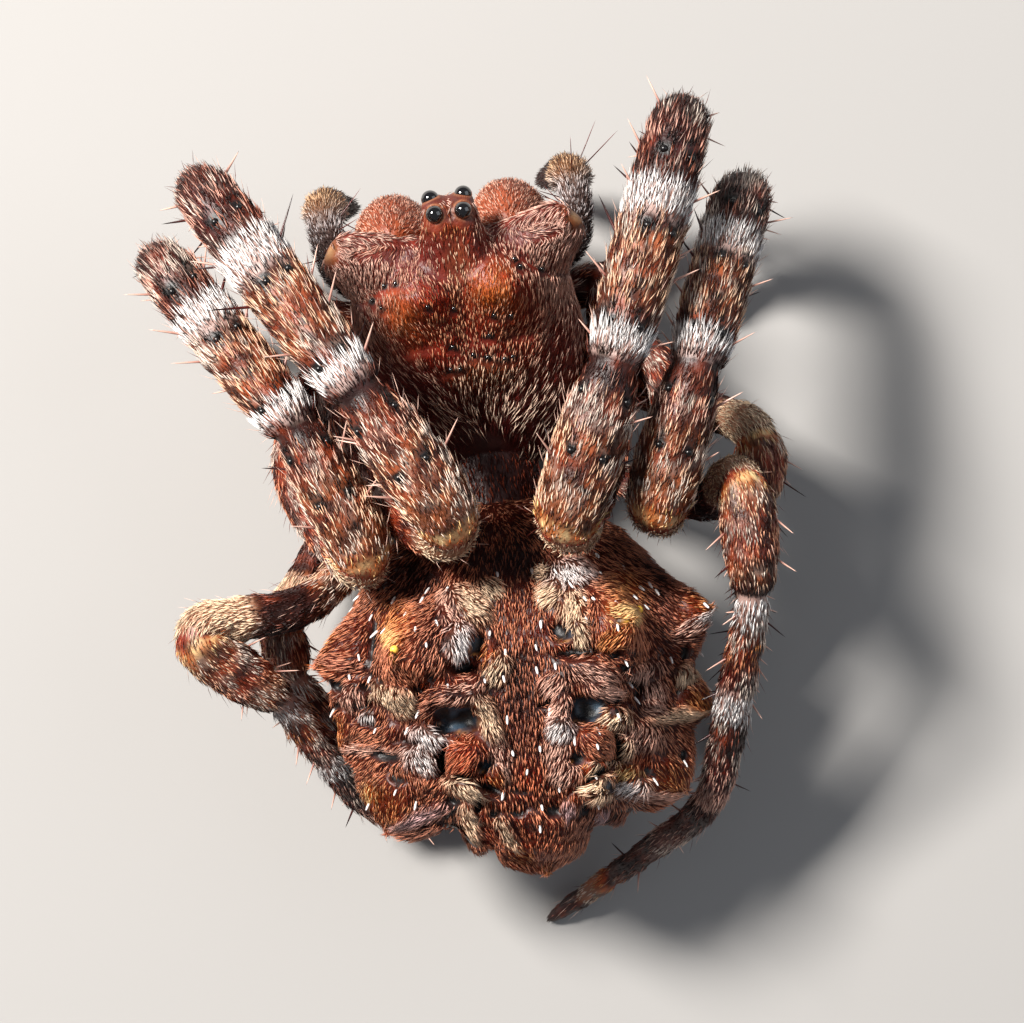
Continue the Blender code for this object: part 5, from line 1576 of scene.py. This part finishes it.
for number, ((side, pair), limb) in enumerate(LEGS.items()):
    roots, directions, lengths = leg_spikes(limb, pair, 40 + number)
    draw = np.random.default_rng(60 + number)
    dark = (draw.random(len(roots)) < 0.25)[:, None]
    widths = SPINE_WIDTH * STOUTNESS[pair] * draw.uniform(0.85, 1.15, len(roots))
    spikes(f"leg_spines_{side}_{pair}", roots, directions, lengths * np.where(dark[:, 0], 1.25, 1), widths,
           np.where(dark, MAROON * 0.6, MAROON), np.where(dark, BLACK, PINKISH))
    u, v = sow(limb.surface, limb.centre, FEELERS[pair], 90 + number)
    places, normals, _, along, _ = facing(limb.surface, u, v, limb.centre)
    size = np.full(len(u), FEELER_LENGTH * STOUTNESS[pair])
    pale = draw.random(len(u)) < 0.6
    lift = 0.6 - 0.35 * np.clip(normals[:, 2], 0, 1)
    grow(f"leg_feelers_{side}_{pair}", places, normals, along, size, size * 0.015, lift,
         np.where(pale[:, None], PINKISH, DARK_RUST), np.stack([u, v], 1), 110 + number, 0.8)

# %% [markdown]
# The white pegs on the back are short blunt bristles that lean back, each in its own dark
# socket. They stand in two loose rows beside the middle line and are scattered over the
# shoulders and lobes.

# %% White pegs
PEG_LENGTH, PEG_WIDTH, PEG_RAISED = 0.165, 0.026, 0.02
PEG_TAPERS = (0.8, 1.0, 0.95, 0.6)
peg_u, peg_v = surface_under(abdomen_skin, *PEG_XY.T)
peg_roots, peg_normals, _, _, _ = facing(abdomen_skin, peg_u, peg_v, abdomen_centre)
draw = np.random.default_rng(77)
lean_back = np.stack([PEG_XY[:, 0] * 0.12, np.full(len(PEG_XY), -0.95), 0 * peg_u], 1)
peg_directions = unit(peg_normals * (0.4, 0.5, 0.9) + lean_back + draw.normal(0, 0.15, peg_normals.shape))
number = len(peg_roots)
tint = alike(WHITE, number)
peg_lengths = PEG_LENGTH * draw.uniform(0.8, 1.25, number)
peg_widths = PEG_WIDTH * draw.uniform(0.8, 1.15, number)
spikes("abdomen_pegs", peg_roots + peg_normals * PEG_RAISED, peg_directions, peg_lengths, peg_widths,
       tint * 0.75, tint, 0.05, PEG_TAPERS)

# %% [markdown]
# The palps are short feelers beside the jaws. Only their bent knees show from above, grey
# brown and woolly, with a few long dark bristles. They are limbs like the legs.

# %% Palps
PALP_LINE = ((1.0, 4.4, 1.1), (2.2, 4.68, 1.98), (2.3, 5.88, 3.15), (2.2, 6.15, 1.6), (1.75, 6.15, 0.7))
PALP_REACH = (0.5, 0.78, 0.4)
PALP_RADII = ((0.22, 0.26, 0.3, 0.31), (0.31, 0.4, 0.38, 0.32, 0.25, 0.13))
PALP_COAT_DEPTH = 0.05
PALP_BRISTLES = 9
BRISTLE_WIDTH = 0.014


def palp_marks(u, v, places):
    """Brown wool at the front of the knee, silver grey behind it, dark below."""
    cloud = mottle(places, 0.3, 23)
    y, z = places[:, 1], places[:, 2]
    hair = blend(alike(paint(128, 104, 98), len(u)), paint(176, 116, 68), step_up(y, 5.95, 0.09))
    hair = blend(hair, DARK_BROWN, step_up(-z, -2.5, 0.2))
    share = (0.35 + 0.3 * cloud) * step_up(z, 2.4, 0.2)
    pale = blend(alike(paint(214, 204, 204), len(u)), paint(226, 180, 134), step_up(y, 5.95, 0.09))
    return {"skin": hair * 0.5, "hair": hair, "pale": pale, "share": share}


for number, (side, sign) in enumerate(SIDES):
    corners = [(sign * x, y, z) for x, y, z in PALP_LINE]
    limb = Limb(corners, PALP_REACH, PALP_RADII, (1,), inset=PALP_COAT_DEPTH)
    dress("palp", f"_{side}", limb.surface, limb.centre, palp_marks, limb.lie, (90, 28), "legs",
          (f"palp_base_{side}", f"palp_tip_{side}"),
          count=4600, seed=60 + number, length=0.17, width=0.0085, lift=0.95)
    turn = np.linspace(0.1, 0.9, PALP_BRISTLES)
    at = np.linspace(0.42, 0.62, PALP_BRISTLES)
    places, normals, _, along, _ = facing(limb.surface, at, turn * 0.8 - 0.4, limb.centre)
    spikes(f"palp_bristles_{side}", places, unit(normals + unit(along) * 0.5),
           np.linspace(0.5, 0.9, PALP_BRISTLES), np.full(PALP_BRISTLES, BRISTLE_WIDTH),
           alike(BLACK, PALP_BRISTLES), alike(MAROON, PALP_BRISTLES))

# %% [markdown]
# The underside can't be seen in the photograph, so it is plain: the breast plate and the mouth
# plates are rounded forms with a thin coat of short hair.

# %% Underside
UNDER_PARTS = {
    "sternum": ((0.0, 2.66, 1.1), (0.6, 1.1, 0.38)),
    "mouthparts": ((0.0, 4.28, 1.25), (0.6, 0.36, 0.4)),
}


def under_marks(u, v, places):
    """Dark brown, a little lighter in the middle."""
    hair = blend(alike(DARK_BROWN, len(u)), BROWN, mottle(places, 0.3, 29) * 0.8)
    return {"skin": hair * 0.7, "hair": hair, "pale": alike(PINKISH, len(u)), "share": 0.15 + 0 * u}


def backward(places, normals, along, around):
    """Hair points back."""
    return alike((0.0, -1.0, -0.1), len(places))


for number, (name, (middle, half_size)) in enumerate(UNDER_PARTS.items()):
    def egg(u, v, middle=np.array(middle), half_size=np.array(half_size)):
        places = ball(u, v) * half_size
        places[:, 2] = np.minimum(places[:, 2], half_size[2] * 0.8)
        return places + middle

    def egg_centre(u, middle=np.array(middle)):
        return alike(middle, len(u))

    dress(name, "", egg, egg_centre, under_marks, backward, (40, 48), "underside", (name,),
          count=900, seed=70 + number, length=0.16, width=0.01, lift=0.5)

# %% [markdown]
# The waist is a short limb, twice as wide as tall, the spinnerets are a low mound with four
# nipples, and the fangs are thin limbs without hair that fold in below the jaws.

# %% Waist, spinnerets and fangs
SPINNERETS_AT = np.array((0.0, -4.1, 0.7))
# The waist is widened and painted very dark to fill the gap between shield and abdomen: painted shade.
WAIST_WIDER = 2.1
WAIST_LINE = ((0.0, 1.35, 2.1), (0.0, 0.6, 2.2), (0.0, -0.1, 2.3))


def waist_marks(u, v, places):
    """Very dark red brown: painted shade of the gap between shield and abdomen."""
    hair = alike(paint(70, 24, 20), len(u))
    return {"skin": hair * 0.5, "hair": hair, "pale": alike(RUST, len(u)), "share": 0.3 + 0 * u}


waist = Limb(WAIST_LINE, (0.3,), ((0.45, 0.42, 0.46),), ())


def waist_surface(u, v):
    """The waist, stretched sideways."""
    return waist.surface(u, v) * (WAIST_WIDER, 1, 1)


dress("waist", "", waist_surface, waist.centre, waist_marks, waist.lie, (40, 36), "underside", ("pedicel",),
      count=2500, seed=75, length=0.2, width=0.01, lift=0.5)


def spinneret_mound(u, v):
    """A low mound with four blunt nipples drawn down from it."""
    n = ball(u, v, "z")
    places = n * (0.48, 0.48, 0.2)
    for sx in (-1, 1):
        for sy in (-1, 1):
            towards = unit(np.array([[sx * 0.5, sy * 0.5, -0.75]]))[0]
            share = np.clip(1 - np.arccos(np.clip(n @ towards, -1, 1)) / 0.55, 0, 1)
            places += share[:, None] ** 0.8 * np.array((0.0, 0.05 * sy, -0.42))
    return places + SPINNERETS_AT


def spinneret_centre(u):
    """The mound's middle."""
    return alike(SPINNERETS_AT, len(u))


dress("spinnerets", "", spinneret_mound, spinneret_centre, under_marks, downward, (60, 64), "underside",
      ("spinnerets",), count=700, seed=80, length=0.12, width=0.009, lift=0.5)

FANG_LINE = ((0.92, 5.3, 0.92), (0.9, 5.26, 0.55), (0.58, 5.16, 0.38), (0.22, 5.06, 0.4))
FANG_RADII = (0.16, 0.15, 0.11, 0.03)


def fang_marks(u, v, places):
    """Dark red brown at the root, black at the tip."""
    return {"skin": blend(alike(DARK_RUST * 0.4, len(u)), BLACK, u)}


for side, sign in SIDES:
    fang = Limb([(sign * x, y, z) for x, y, z in FANG_LINE], (0.14, 0.14), (FANG_RADII,), ())
    put_skin(f"fang_piece_{side}", fang.surface, fang_marks, 40, 24, "fangs", SOFT_SKIN, (f"fang_{side}",))
